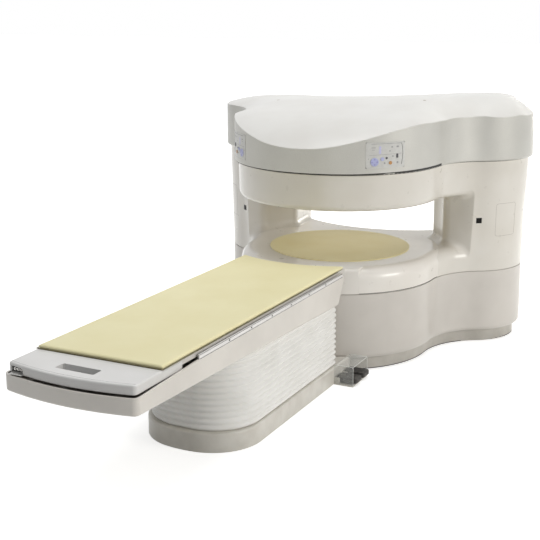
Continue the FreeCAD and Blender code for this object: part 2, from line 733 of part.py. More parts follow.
def yoke_bolt(x, y, z, down):
    """A hexagon bolt whose head rests on a yoke at z and whose shank runs into the post."""
    head = Part.Face(Part.makePolygon([
        V(x + 1.7 * BOLT_R * math.cos(math.radians(60 * i)), y + 1.7 * BOLT_R * math.sin(math.radians(60 * i)), 0)
        for i in range(7)])).extrude(V(0, 0, BOLT_HEAD_T))
    shank = tube_z(BOLT_R, x, y, -YOKE_T - BOLT_SINK, 1)
    bolt = head.fuse(shank).removeSplitter()
    if not down:
        bolt = bolt.mirror(ORIGIN, UP)
    bolt.translate(V(0, 0, z))
    return bolt


def magnet():
    """Both poles, from the patient side outwards, on a yoke with two posts."""
    out = {}
    for name, sign, face in (("lower", -1, BASE_TOP), ("upper", 1, DRUM_BOTTOM)):
        z = face + sign * WALL
        levels = []
        for t in (RF_T, GRADIENT_T, POLE_T, MAGNET_T):
            levels.append((min(z, z + sign * t), max(z, z + sign * t)))
            z += sign * t
        rf, gradient, pole, block = levels
        out[name + "_rf_coil"] = tube_z(COIL_R, 0, 0, rf[0] + (sign > 0) * SEAT, rf[1] - (sign < 0) * SEAT)
        hole = tube_z(60, 0, 0, gradient[0] - 1, gradient[1] + 1)
        out[name + "_gradient_coil"] = tube_z(COIL_R, 0, 0, *gradient).cut(hole)
        plate = tube_z(POLE_R, 0, 0, *pole)
        shim_face = pole[0] if sign > 0 else pole[1]
        shim = tube_z(POLE_R, 0, 0, min(shim_face, shim_face - sign * POLE_SHIM_H),
                      max(shim_face, shim_face - sign * POLE_SHIM_H))
        shim = shim.cut(tube_z(COIL_R + POLE_SHIM_GAP, 0, 0, shim_face - 50, shim_face + 50))
        out[name + "_pole_piece"] = plate.fuse(shim).removeSplitter()
        out[name + "_magnet"] = tube_z(MAGNET_R, 0, 0, *block)
        out[name + "_yoke"] = yoke(block[1] if sign > 0 else block[0] - YOKE_T)
    low = out["lower_yoke"].BoundBox.ZMax
    high = out["upper_yoke"].BoundBox.ZMin
    posts = tube_z(POST_R, POST_X, POST_Y, low, high)
    bolts, yoke_holes = [], {"upper_yoke": [], "lower_yoke": []}
    hole_r = BOLT_R + BOLT_HOLE_GAP
    for x, y in bolt_places():
        bolts.append(yoke_bolt(x, y, high + YOKE_T, True))
        bolts.append(yoke_bolt(x, y, low - YOKE_T, False))
        yoke_holes["upper_yoke"].append(tube_z(hole_r, x, y, high - 1, high + YOKE_T + 1))
        yoke_holes["lower_yoke"].append(tube_z(hole_r, x, y, low - YOKE_T - 1, low + 1))
        posts = posts.cut(tube_z(hole_r, x, y, high - BOLT_SINK - 5, high + 1))
        posts = posts.cut(tube_z(hole_r, x, y, low - 1, low + BOLT_SINK + 5))
    for name, holes in yoke_holes.items():
        out[name] = out[name].cut([place(side, hole) for side in SIDES for hole in holes])
    for side in SIDES:
        out[side + "_post"] = place(side, posts)
    out["yoke_bolts"] = Part.makeCompound([place(side, bolt) for side in SIDES for bolt in bolts])
    return out


def levelling_feet(top):
    """Six feet under the lower yoke. Four have the hole for the floor anchor."""
    feet = []
    post_foot = tube_z(FOOT_W / 2, POST_X, POST_Y, 0, FOOT_T)
    post_foot = post_foot.fuse(tube_z(FOOT_STEM_R, POST_X, POST_Y, FOOT_T - 1, top)).removeSplitter()
    for side in (1, -1):
        for y in (ANCHOR_Y, -ANCHOR_Y):
            stem_x = side * (ANCHOR_X - FOOT_STEM_STEP)
            x0, x1 = sorted((stem_x - side * FOOT_W / 2, side * (ANCHOR_X + FOOT_W / 2)))
            plate = box(x0, x1, y - FOOT_W / 2, y + FOOT_W / 2, 0, FOOT_T)
            plate = plate.makeFillet(20, upright_edges(plate, FOOT_T - 1))
            foot = plate.fuse(tube_z(FOOT_STEM_R, stem_x, y, FOOT_T - 1, top)).removeSplitter()
            feet.append(foot.cut(tube_z(ANCHOR_R, side * ANCHOR_X, y, -1, FOOT_T + 1)))
    return Part.makeCompound(feet + [place(side, post_foot) for side in SIDES])


# ---------------------------------------------------------------- patient table
def bowed_plan(half_w, front_y, bow_r, corner_r, head_r, z0, z1):
    """A slab with a bowed foot end, rounded foot corners and a head end hollow about the pole axis."""
    sag = bow_r - math.sqrt(bow_r ** 2 - half_w ** 2)
    left, right = V(-half_w, front_y + sag, 0), V(half_w, front_y + sag, 0)
    head_y = -math.sqrt(head_r ** 2 - half_w ** 2)
    edges = [
        Part.Arc(left, V(0, front_y, 0), right).toShape(),
        Part.makeLine(right, V(half_w, head_y, 0)),
        Part.Arc(V(half_w, head_y, 0), V(0, -head_r, 0), V(-half_w, head_y, 0)).toShape(),
        Part.makeLine(V(-half_w, head_y, 0), left),
    ]
    face = Part.Face(Part.Wire(edges))
    face.translate(V(0, 0, z0))
    slab = face.extrude(V(0, 0, z1 - z0))
    corners = [e for e in upright_edges(slab, z1 - z0 - 0.1) if e.BoundBox.YMax < front_y + 2 * sag + 1]
    return slab.makeFillet(corner_r, corners)


def underside(y):
    """Height of the frame's sloping underside."""
    return FRAME_FOOT_Z - FRAME_SLOPE * (y - FRAME_FRONT_Y)


def under_frame(lift):
    """Everything below the frame's underside, raised by lift."""
    y0, y1 = 2 * FRAME_FRONT_Y, 0.0
    points = [V(-FAR, y0, -FAR), V(-FAR, y0, underside(y0) + lift), V(-FAR, y1, underside(y1) + lift),
              V(-FAR, y1, -FAR)]
    return Part.Face(Part.makePolygon(points + points[:1])).extrude(V(2 * FAR, 0, 0))


def past_frame_head(back):
    """Everything past the frame's raked head end, moved back towards the foot."""
    top_y, foot_y = FRAME_HEAD_Y - back, FRAME_HEAD_Y - FRAME_HEAD_RAKE - back
    points = [V(-FAR, foot_y, FRAME_HEAD_Z), V(-FAR, top_y, FRAME_TOP), V(-FAR, top_y, TOP_CEILING),
              V(-FAR, FAR, TOP_CEILING), V(-FAR, FAR, 0), V(-FAR, foot_y, 0)]
    return Part.Face(Part.makePolygon(points + points[:1])).extrude(V(2 * FAR, 0, 0))


def table_frame():
    wall = FRAME_WALL
    frame = bowed_plan(FRAME_HALF_W, FRAME_FRONT_Y, CAP_BOW_R, FRAME_CORNER_R, FRONT_R, 0, FRAME_TOP)
    frame = frame.cut([under_frame(0), past_frame_head(0)])
    low = [e for e in frame.Edges if all(abs(v.Z - underside(v.Y)) < 0.01 for v in e.Vertexes)
           and e.BoundBox.YMin < FRAME_HEAD_Y - FRAME_HEAD_RAKE - 20]
    frame = frame.makeFillet(FRAME_EDGE_R, low)
    pocket = bowed_plan(FRAME_HALF_W - wall, FRAME_FRONT_Y + wall, CAP_BOW_R, FRAME_CORNER_R - wall, FRONT_R,
                        0, FRAME_TOP + 1)
    frame = frame.cut(pocket.cut([under_frame(FRAME_FLOOR), past_frame_head(wall)]))
    return fuse_all([frame, side_cheek(), mirrored(side_cheek())])


def side_cheek():
    """The part of the right side wall above the rim: it rises from the foot corner, then runs level."""
    foot_y = FRAME_FRONT_Y + CAP_BOW_R - math.sqrt(CAP_BOW_R ** 2 - FRAME_HALF_W ** 2) + FRAME_CORNER_R
    inner = FRAME_HALF_W - FRAME_WALL
    points = [V(inner, foot_y, FRAME_TOP), V(inner, FRAME_RISE_Y, FRAME_SIDE_TOP),
              V(inner, FRAME_HEAD_Y, FRAME_SIDE_TOP), V(inner, FRAME_HEAD_Y, FRAME_TOP)]
    return Part.Face(Part.makePolygon(points + points[:1])).extrude(V(FRAME_WALL, 0, 0))


def foot_cap():
    cap = bowed_plan(TABLE_HALF_W, CAP_FRONT_Y, CAP_BOW_R, CAP_CORNER_R, MAT_HEAD_R, CAP_BOTTOM, BOARD_TOP)
    cap = cap.common(box(-FRAME_HALF_W, FRAME_HALF_W, CAP_FRONT_Y - 50, CAP_REAR_Y, 0, TOP_CEILING))
    for z, radius in ((BOARD_TOP, CAP_EDGE_R), (CAP_BOTTOM, CAP_UNDER_R)):
        cap = cap.makeFillet(radius, [e for e in rim_edges(cap, z) if e.BoundBox.YMin < CAP_REAR_Y - 1])
    under = bowed_plan(TABLE_HALF_W - 14, CAP_FRONT_Y + 60, CAP_BOW_R, CAP_CORNER_R - 8, MAT_HEAD_R,
                       CAP_BOTTOM - 1, BOARD_TOP - CAP_SKIN)
    floor = box(-SLOT_HALF_X - 8, SLOT_HALF_X + 8, SLOT_FRONT_Y - 8, SLOT_REAR_Y + 8, 0, BOARD_TOP)
    slot = box(-SLOT_HALF_X, SLOT_HALF_X, SLOT_FRONT_Y, SLOT_REAR_Y, BOARD_TOP - SLOT_DEPTH, BOARD_TOP + 1)
    slot = slot.makeFillet(8, upright_edges(slot, SLOT_DEPTH - 1))
    recess = box(-RECESS_X1, -RECESS_X0, CAP_FRONT_Y - 5, CAP_FRONT_Y + RECESS_D, 0, BOARD_TOP - CAP_SKIN)
    return cap.cut(under.cut(floor)).cut(slot).cut(recess)


def tabletop():
    board = bowed_plan(TABLE_HALF_W - BOARD_SIDE_STEP, CAP_FRONT_Y, CAP_BOW_R, CAP_CORNER_R, BOARD_HEAD_R,
                       BOARD_BOTTOM, BOARD_TOP)
    board = board.common(box(-FRAME_HALF_W, FRAME_HALF_W, CAP_REAR_Y, 0, 0, TOP_CEILING))
    runners = []
    for x in (-GUIDE_X, GUIDE_X):
        runners.append(box(x - RUNNER_W / 2, x + RUNNER_W / 2, RUNNER_START_Y, RUNNER_END_Y,
                           GUIDE_TOP + SEAT, BOARD_BOTTOM + 1))
    return fuse_all([board] + runners)


def mattress():
    mat = bowed_plan(TABLE_HALF_W, MAT_FOOT_Y - 40, 100000.0, 25, MAT_HEAD_R, BOARD_TOP, MAT_TOP)
    mat = mat.common(box(-FRAME_HALF_W, FRAME_HALF_W, MAT_FOOT_Y, 0, 0, TOP_CEILING))
    return mat.makeFillet(7, rim_edges(mat, MAT_TOP))


def side_rails():
    inner = FRAME_HALF_W - FRAME_WALL
    top = FRAME_SIDE_TOP + RAIL_H
    bar = box(inner, FRAME_HALF_W, RAIL_START_Y, RAIL_END_Y, FRAME_SIDE_TOP, top)
    bar = bar.makeFillet(3, [e for e in bar.Edges if e.BoundBox.YLength > 100 and e.BoundBox.ZMin > top - 1])
    return Part.makeCompound([bar, mirrored(bar)])


def slide_rails():
    bars = []
    for x in (-GUIDE_X, GUIDE_X):
        bar = box(x - GUIDE_W / 2, x + GUIDE_W / 2, GUIDE_START_Y, GUIDE_END_Y, 0, GUIDE_TOP)
        bar = bar.cut(under_frame(FRAME_FLOOR))
        for edge in (-1, 1):
            x0 = x + edge * GUIDE_W / 2 - GROOVE_D
            bar = bar.cut(box(x0, x0 + 2 * GROOVE_D, GUIDE_START_Y - 1, GUIDE_END_Y + 1,
                              GUIDE_TOP - GROOVE_Z - GROOVE_H, GUIDE_TOP - GROOVE_Z))
        bars.append(bar)
    return Part.makeCompound(bars)


def drive():
    """The motor that moves the tabletop, and the toothed belt along the frame's floor."""
    z = FRAME_TOP - PULLEY_R - BELT_T - 6
    half = BELT_W / 2
    motor = Part.makeCylinder(DRIVE_MOTOR_R, DRIVE_MOTOR_L, V(half + 4, BELT_FOOT_Y, z), V(1, 0, 0))
    shaft = Part.makeCylinder(PULLEY_R - SEAT, BELT_W + 5, V(-half, BELT_FOOT_Y, z), V(1, 0, 0))
    saddle = box(half + 20, half + 110, BELT_FOOT_Y - DRIVE_MOTOR_R, BELT_FOOT_Y + DRIVE_MOTOR_R, 0, z)
    motor = fuse_all([motor, shaft, saddle.cut(under_frame(FRAME_FLOOR))])
    idler = Part.makeCylinder(PULLEY_R - SEAT, BELT_W, V(-half, BELT_HEAD_Y, z), V(1, 0, 0))
    stand = box(-half - 14, -half - 4, BELT_HEAD_Y - 20, BELT_HEAD_Y + 20, 0, z + 20)
    pin = Part.makeCylinder(8, BELT_W + 18, V(-half - 14, BELT_HEAD_Y, z), V(1, 0, 0))
    idler = fuse_all([idler, stand.cut(under_frame(FRAME_FLOOR)), pin])
    loop = []
    for r in (PULLEY_R + BELT_T, PULLEY_R):
        ends = [Part.makeCylinder(r, BELT_W, V(-half, y, z), V(1, 0, 0)) for y in (BELT_FOOT_Y, BELT_HEAD_Y)]
        run = box(-half, half, BELT_FOOT_Y, BELT_HEAD_Y, z - r, z + r)
        loop.append(fuse_all(ends + [run]))
    return motor, idler, loop[0].cut(loop[1])


def plinth_block(inset, z0, z1):
    return bowed_plan(PLINTH_HALF_W - inset, PLINTH_FRONT_Y + inset, PLINTH_BOW_R, PLINTH_CORNER_R - inset,
                      PLINTH_HEAD_R + inset, z0, z1)


def base_plate(inset, z0, z1):
    """The plate under the plinth, which runs on under the skirt as far as the kick plate."""
    return bowed_plan(PLINTH_HALF_W - inset, PLINTH_FRONT_Y + inset, PLINTH_BOW_R, PLINTH_CORNER_R - inset,
                      FRONT_R - KICK_INSET + SEAT, z0, z1)


def plinth_cover():
    cover = plinth_block(0, 0, PLINTH_TOP)
    cover = cover.makeFillet(PLINTH_EDGE_R, rim_edges(cover, PLINTH_TOP))
    cover = cover.cut([plinth_block(WALL, -1, PLINTH_TOP - WALL), base_plate(WALL, -1, BASE_PLATE_T + SEAT)])
    return cover.cut(bellows_hollow(PLINTH_TOP - 10, PLINTH_TOP + 1))


def bellows_wire(depth, z):
    """The bellows' plan at a height, drawn in by depth."""
    half_w = PLINTH_HALF_W - BELLOWS_STEP - depth
    front_y = PLINTH_FRONT_Y + BELLOWS_FRONT_STEP + depth
    corner = BELLOWS_CORNER_R - depth
    rear_y = BELLOWS_HEAD_Y - depth
    small = 30.0
    corner_c = V(half_w - corner, front_y + corner, 0)
    rear_c = V(half_w - small, rear_y - small, 0)
    diag = math.sqrt(0.5)
    front = Part.makeLine(V(-corner_c.x, front_y, 0), V(corner_c.x, front_y, 0))
    turn = Part.Arc(V(corner_c.x, front_y, 0), corner_c + V(corner * diag, -corner * diag, 0),
                    V(half_w, corner_c.y, 0)).toShape()
    flank = Part.makeLine(V(half_w, corner_c.y, 0), V(half_w, rear_c.y, 0))
    rear_turn = Part.Arc(V(half_w, rear_c.y, 0), rear_c + V(small * diag, small * diag, 0),
                         V(rear_c.x, rear_y, 0)).toShape()
    rear = Part.makeLine(V(rear_c.x, rear_y, 0), V(-rear_c.x, rear_y, 0))
    side = [turn, flank, rear_turn]
    wire = Part.Wire([front] + side + [rear] + [mirrored(e) for e in reversed(side)])
    wire.translate(V(0, 0, z))
    return wire


def bellows_hollow(z0, z1):
    return Part.Face(bellows_wire(BELLOWS_WALL, z0)).extrude(V(0, 0, z1 - z0))


def bellows():
    """Folded bellows: each pleat is a valley, a slope out to a blunt ridge and a slope back."""
    low, high = PLINTH_TOP + SEAT, underside(PLINTH_FRONT_Y)
    pitch = (high - low) / PLEATS
    slices = []
    for i in range(PLEATS):
        z = low + i * pitch
        mid = z + pitch / 2
        levels = ((PLEAT_DEPTH, z), (0, mid - PLEAT_FLAT / 2), (0, mid + PLEAT_FLAT / 2), (PLEAT_DEPTH, z + pitch))
        for (d0, z0), (d1, z1) in zip(levels, levels[1:]):
            slices.append(Part.makeLoft([bellows_wire(d0, z0), bellows_wire(d1, z1)], True, True))
    upper = under_frame(-SEAT)
    return fuse_all(slices).cut(bellows_hollow(low - 1, high + 1)).common(upper)


def table_base():
    plate = base_plate(WALL + SEAT, 0, BASE_PLATE_T)
    for side in (1, -1):
        for y in TABLE_ANCHOR_Y:
            plate = plate.cut(tube_z(ANCHOR_R, side * TABLE_ANCHOR_X, y, -1, BASE_PLATE_T + 1))
    return plate


def square_tube(width, wall, y, z0, z1):
    outer = box(-width / 2, width / 2, y - width / 2, y + width / 2, z0, z1)
    outer = outer.makeFillet(12, upright_edges(outer, z1 - z0 - 1))
    half = width / 2 - wall
    return outer.cut(box(-half, half, y - half, y + half, z0 - 1, z1 + 1))


def lift_stage(step, z0):
    """One stage of both lifting columns. Each stage slides inside the one before."""
    width = LIFT_TUBE_W - 2 * step * (LIFT_TUBE_WALL + SEAT)
    return Part.makeCompound([square_tube(width, LIFT_TUBE_WALL, y, z0, z0 + LIFT_STAGE) for y in LIFT_Y])


def lift_motor():
    y = sum(LIFT_Y) / 2
    z = BASE_PLATE_T + MOTOR_R + 12
    body = Part.makeCylinder(MOTOR_R, MOTOR_L, V(-MOTOR_L / 2, y, z), V(1, 0, 0))
    foot = box(-MOTOR_L / 3, MOTOR_L / 3, y - MOTOR_R, y + MOTOR_R, BASE_PLATE_T, z - MOTOR_R / 2)
    shafts = box(-18, 18, LIFT_Y[0] + LIFT_TUBE_W / 2 + SEAT, LIFT_Y[1] - LIFT_TUBE_W / 2 - SEAT,
                 z - 18, z + 18)
    return fuse_all([body, foot, shafts])


def lift_head():
    y0, y1 = LIFT_Y[0] - LIFT_HEAD_OVERHANG, LIFT_Y[1] + LIFT_HEAD_OVERHANG
    plate = box(-LIFT_HEAD_HALF_W, LIFT_HEAD_HALF_W, y0, y1, LIFT_TOP, FRAME_TOP)
    plate = plate.makeFillet(40, upright_edges(plate, LIFT_HEAD_T))
    return plate.common(under_frame(0))


# ---------------------------------------------------------------- foot pedals
def pedal_middles():
    span = PEDAL_Y1 - PEDAL_Y0
    return [PEDAL_Y0 + span * share for share in PEDAL_SHARES]


def pedal_block(pin_x, y):
    """A pedal's body, with sloping heel and toe and rounded corners."""
    heel, toe = pin_x - PEDAL_HEEL, pin_x + PEDAL_L
    profile = [(heel, PEDAL_LOW), (toe - PEDAL_EDGE, PEDAL_LOW + 2), (toe, PEDAL_LOW + PEDAL_EDGE),
               (toe, PEDAL_HIGH - PEDAL_EDGE), (toe - PEDAL_EDGE, PEDAL_HIGH), (heel + PEDAL_EDGE, PEDAL_HIGH),
               (heel, PEDAL_HIGH - PEDAL_EDGE)]
    points = [V(x, y - PEDAL_W / 2, z) for x, z in profile]
    block = Part.Face(Part.makePolygon(points + points[:1])).extrude(V(0, PEDAL_W, 0))
    return block.makeFillet(14, [e for e in upright_edges(block, 1) if e.BoundBox.XMin > toe - 1])


def pedal_parts():
    """The plate with its pin blocks, the clear hood and the two pedals."""
    x1 = PEDAL_X + PEDAL_PLATE_L
    pin_x = PEDAL_X + PEDAL_PIN_STEP
    plate = box(PEDAL_X, x1, PEDAL_Y0, PEDAL_Y1, 0, PEDAL_PLATE_T)
    blocks, pedals = [], []
    for y in pedal_middles():
        for side in (-1, 1):
            mid = y + side * (PEDAL_W / 2 + 5)
            blocks.append(box(PEDAL_X, PEDAL_X + PEDAL_PIN_STEP + 16, mid - 4, mid + 4, 0, PEDAL_PIN_Z + 12))
        blocks.append(Part.makeCylinder(PEDAL_PIN_R, PEDAL_W + 18, V(pin_x, y - PEDAL_W / 2 - 9, PEDAL_PIN_Z), V(0, 1, 0)))
        pedal = pedal_block(pin_x, y)
        for i in range(PEDAL_GROOVES):
            x = pin_x + 44 + PEDAL_GROOVE_STEP * i
            pedal = pedal.cut(box(x, x + 4, y - PEDAL_W / 2 + 8, y + PEDAL_W / 2 - 8, PEDAL_HIGH - 2, PEDAL_HIGH + 1))
        bore = Part.makeCylinder(PEDAL_PIN_R + PEDAL_GAP, PEDAL_W + 2, V(pin_x, y - PEDAL_W / 2 - 1, PEDAL_PIN_Z), V(0, 1, 0))
        pedals.append(pedal.cut(bore))
    housing = fuse_all([plate] + blocks)
    hood = box(PEDAL_X, x1, PEDAL_Y0, PEDAL_Y1, PEDAL_PLATE_T, PEDAL_HOOD_H)
    hood = hood.makeFillet(12, [e for e in hood.Edges if e.BoundBox.ZMin > PEDAL_HOOD_H - 1 and e.BoundBox.YLength > 1])
    hollow = box(PEDAL_X - 1, x1 + 1, PEDAL_Y0 + PEDAL_HOOD_T, PEDAL_Y1 - PEDAL_HOOD_T, PEDAL_PLATE_T - 1,
                 PEDAL_HOOD_H - PEDAL_HOOD_T)
    return housing, hood.cut(hollow), pedals


# ---------------------------------------------------------------- assembly
def build():
    parts = magnet()
    parts["levelling_feet"] = levelling_feet(parts["lower_yoke"].BoundBox.ZMin)
    front, right, left = skirts()
    parts.update(front_skirt=front, right_skirt=right, left_skirt=left, kick_plates=kick_plates())
    panes = []
    for side in SIDES:
        parts[side + "_column_cover"] = column_cover(side)
        lean = unplace(side, leaning_block(0))
        panes.append(place(side, window_pocket(side, 0).common(lean)))
    parts["laser_windows"] = Part.makeCompound(panes)
    parts["base_top_cover"] = base_top_cover()
    parts["dock_cover"] = dock_cover()
    parts["pole_pad"] = tube_z(POLE_PAD_R, 0, 0, BASE_TOP, BASE_TOP + POLE_PAD_T)
    parts["drum_cover"] = drum_cover()
    band_front, band_rear, lid = band_and_top()
    panel, keys = control_panel()
    band_r = FRONT_R + BAND_PROUD
    cut_deg = math.degrees(SEAT / band_r)
    opening = sector(band_r - 40, band_r + 40, PANEL_DEG - PANEL_HALF_DEG - cut_deg,
                     PANEL_DEG + PANEL_HALF_DEG + cut_deg, PANEL_LOW - SEAT, PANEL_HIGH + SEAT)
    band_front = band_front.cut(opening).cut(mirrored(opening))
    parts.update(front_band=band_front, rear_band=band_rear, top_cover=lid)
    parts["right_panel"] = panel
    parts["left_panel"] = mirrored(panel)
    for name, key in keys.items():
        parts["right_" + name] = key
        parts["left_" + name] = mirrored(key)
    motor, idler, belt = drive()
    housing, hood, pedals = pedal_parts()
    parts.update(
        table_base=table_base(), plinth_cover=plinth_cover(), bellows=bellows(), lift_motor=lift_motor(),
        lift_sleeves=lift_stage(0, BASE_PLATE_T),
        lift_middle_tubes=lift_stage(1, BASE_PLATE_T + LIFT_STAGE - LIFT_OVERLAP),
        lift_rams=lift_stage(2, BASE_PLATE_T + 2 * (LIFT_STAGE - LIFT_OVERLAP)),
        lift_head=lift_head(), table_frame=table_frame(), slide_rails=slide_rails(), side_rails=side_rails(),
        drive_motor=motor, belt_idler=idler, drive_belt=belt, tabletop=tabletop(), foot_cap=foot_cap(),
        mattress=mattress(), pedal_housing=housing, pedal_hood=hood, foot_pedal=pedals[0], head_pedal=pedals[1])
    return parts


def main():
    os.makedirs("parts", exist_ok=True)
    for name, shape in sorted(build().items()):
        bad = "" if shape.isValid() else "  NOT VALID"
        b = shape.BoundBox
        print(f"{name:24s} solids {len(shape.Solids)} faces {len(shape.Faces):4d} volume {shape.Volume / 1e6:10.3f} l"
              f"  z {b.ZMin:.0f}..{b.ZMax:.0f}{bad}")
        shape.exportStep(f"parts/{name}.step")


main()
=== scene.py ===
"""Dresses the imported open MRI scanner: finishes for its moulded covers, a padded mattress,
cloth bellows, control panels, rails and pedals, and a plain studio round it."""

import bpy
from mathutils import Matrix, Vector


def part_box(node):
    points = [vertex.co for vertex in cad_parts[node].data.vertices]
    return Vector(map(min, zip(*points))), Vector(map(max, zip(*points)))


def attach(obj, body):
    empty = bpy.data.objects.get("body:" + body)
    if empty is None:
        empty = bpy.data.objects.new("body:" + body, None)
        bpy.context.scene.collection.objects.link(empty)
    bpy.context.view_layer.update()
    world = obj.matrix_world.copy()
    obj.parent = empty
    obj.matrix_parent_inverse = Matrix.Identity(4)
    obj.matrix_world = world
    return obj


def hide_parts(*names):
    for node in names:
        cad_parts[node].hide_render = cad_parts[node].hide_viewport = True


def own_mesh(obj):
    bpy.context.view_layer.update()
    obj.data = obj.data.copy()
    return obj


bl_info = {
    "name": "Open MRI Scanner",
    "version": (1, 0, 0),
    "blender": (4, 5, 0),
    "location": "View3D > Sidebar > Scanner",
    "description": "Dresses the packed open MRI scanner and sets its studio",
    "category": "Object", }

from math import cos, dist, hypot, pi, radians, sin, sqrt

import bmesh
import bpy
import numpy as np
from mathutils import Matrix, Vector
from mathutils.bvhtree import BVHTree

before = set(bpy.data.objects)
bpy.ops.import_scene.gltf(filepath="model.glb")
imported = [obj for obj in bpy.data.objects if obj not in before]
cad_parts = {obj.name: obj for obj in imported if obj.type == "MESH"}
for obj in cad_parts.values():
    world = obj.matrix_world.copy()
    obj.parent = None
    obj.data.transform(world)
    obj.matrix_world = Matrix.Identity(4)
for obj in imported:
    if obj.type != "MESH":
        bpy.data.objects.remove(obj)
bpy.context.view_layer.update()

# -------- sizes in metres, bearings in degrees from the front
SIDES = {"right": 1.0, "left": -1.0}
UP = Vector((0, 0, 1))
LEFT_TURN = 7.0            # the left column stands turned to the front by this many degrees
HATCH_BEARING = 33.5       # middle of a column's hatch, to the front of straight sideways
HATCH_Z = 1.018
FLANK_R = 0.461            # a column's flank, about the middles below
FLANK_MIDDLES = {"right": (0.820, 0.8325), "left": (-0.8458, 0.6935)}
STRIP_START = -62.0        # the painted shade in the gap under the band, from bearing to bearing
STRIP_END = 89.5
PLUGS = ((-0.66, 0.203), (0.977, 1.0), (0.62, 0.20), (-0.90, 0.86))
PLUG_PROFILE = ((0.010, 0.0015), (0.0125, 0.0006), (0.013, -0.0012))
RECESS_X = -0.337          # middle of the coil sockets' recess
RECESS_DEPTH = 0.105       # its back wall, from the cap's foremost point
CAP_BOW_R = 1.600
PLEATS = 13
FOLD_DEPTH = 0.017
LINING = 0.024             # the bellows' straight inner wall, from its ridges
BELLOWS_CORNER_R = 0.320
BELLOWS_REAR_R = 0.030
FRAME_UNDERSIDE = ((-3.605, 0.680), (-0.915, 0.601))   # y and z where the table frame's underside starts and ends
WAVE_TURN = 6.283          # a wave texture repeats once in this many units


# -------- materials
def linear(code):
    """A linear colour from an sRGB hex code."""
    parts = [int(code[i:i + 2], 16) / 255 for i in (1, 3, 5)]
    return (*(c / 12.92 if c <= 0.04045 else ((c + 0.055) / 1.055) ** 2.4 for c in parts), 1.0)


def add(tree, kind, inputs=(), **settings):
    """Adds a node. Its inputs are values, sockets, or nodes that are linked by their first output. A kind
    without Node in its name is a shader node."""
    node = tree.nodes.new(kind if "Node" in kind else "ShaderNode" + kind)
    for name, value in settings.items():
        setattr(node, name, value)
    for name, value in dict(inputs).items():
        if isinstance(value, bpy.types.Node):
            value = value.outputs[0]
        if isinstance(value, bpy.types.NodeSocket):
            tree.links.new(value, node.inputs[name])
        else:
            node.inputs[name].default_value = value
    return node


class Finish:
    """A material under way: patterns sized in millimetres, on object coordinates, stretched or not, or a UV map."""

    def __init__(self, name, uv=None, stretch=None):
        self.material = bpy.data.materials.new(name)
        self.material.use_nodes = True
        self.tree = self.material.node_tree
        self.tree.nodes.clear()
        if uv:
            self.place = add(self.tree, "UVMap", uv_map=uv)
        else:
            self.place = add(self.tree, "TexCoord").outputs["Object"]
        if stretch:
            self.place = add(self.tree, "Mapping", {"Vector": self.place, "Scale": stretch})

    def texture(self, kind, size_mm, inputs=(), **settings):
        """A texture whose feature has this size."""
        scale = 1000.0 / size_mm / (WAVE_TURN if kind == "Wave" else 1.0)
        return add(self.tree, "Tex" + kind, {"Vector": self.place, "Scale": scale, **dict(inputs)}, **settings)

    def noise(self, size_mm, detail=2.0, **inputs):
        return self.texture("Noise", size_mm, {"Detail": detail, **inputs})

    def tones(self, size_mm, codes, low=0.35, high=0.65):
        """Slow drift between two close tones, as paint, moulding and age leave it."""
        ramp = add(self.tree, "ValToRGB", {"Fac": self.noise(size_mm, 3.0)})
        for stop, position, code in zip(ramp.color_ramp.elements, (low, high), codes):
            stop.position = position
            stop.color = linear(code)
        return ramp

    def drift(self, size_mm, low, high):
        """A value that wanders between two limits, for roughness."""
        return add(self.tree, "MapRange", {"Value": self.noise(size_mm), "To Min": low, "To Max": high})

    def relief(self, height, depth_mm, strength=1.0, under=None):
        """A bump of a real depth, over another one if given."""
        below = {"Normal": under} if under else {}
        distance = depth_mm / 1000.0
        return add(self.tree, "Bump", {"Height": height, "Distance": distance, "Strength": strength, **below})

    def done(self, base, rough, normal=None, **inputs):
        """The finished material. The names of inputs have _ for their spaces."""
        sockets = {name.replace("_", " "): value for name, value in inputs.items()}
        sockets.update({"Base Color": base, "Roughness": rough, **({"Normal": normal} if normal else {})})
        add(self.tree, "OutputMaterial", {"Surface": add(self.tree, "BsdfPrincipled", sockets)})
        return self.material


def lacquer(name, tones, gloss=0.28, coat=0.35):
    """Polyurethane moulding sprayed with two-pack lacquer: a soft gloss with faint orange peel about
    3 mm across, drawn at 5 mm so that it shows, and tones that drift a little over a hand's width."""
    f = Finish(name)
    slow = f.relief(f.noise(160.0, 1.0), 0.6, 0.5)
    return f.done(f.tones(420.0, tones), f.drift(60.0, gloss - 0.03, gloss + 0.05),
                  f.relief(f.noise(5.0), 0.05, 0.5, slow), IOR=1.5, Coat_Weight=coat, Coat_Roughness=0.12)


def metallic(name, tones):
    """Silver-grey metallic lacquer on a moulding: fine bright flakes of about 1 mm under clear lacquer."""
    f = Finish(name)
    grey = add(f.tree, "SeparateColor", {"Color": f.texture("Voronoi", 1.6).outputs["Color"]})
    glint = add(f.tree, "MapRange", {"Value": grey, "To Min": 0.94, "To Max": 1.06})
    flecked = add(f.tree, "VectorMath", {0: f.tones(500.0, tones), "Scale": glint}, operation="SCALE")
    return f.done(flecked, f.drift(50.0, 0.38, 0.46), f.relief(f.noise(5.0), 0.05, 0.5),
                  Metallic=0.15, IOR=1.45, Coat_Weight=0.12, Coat_Roughness=0.2)


def plastic(name, tones, gloss=0.5, grain_mm=1.6, depth_mm=0.06):
    """Injection-moulded ABS or polyamide with an eroded grain, as a mould's spark finish leaves it."""
    f = Finish(name)
    grain = f.texture("Voronoi", grain_mm)
    return f.done(f.tones(30.0, tones), f.drift(12.0, gloss - 0.06, gloss + 0.06),
                  f.relief(grain, depth_mm, 0.6), IOR=1.53)


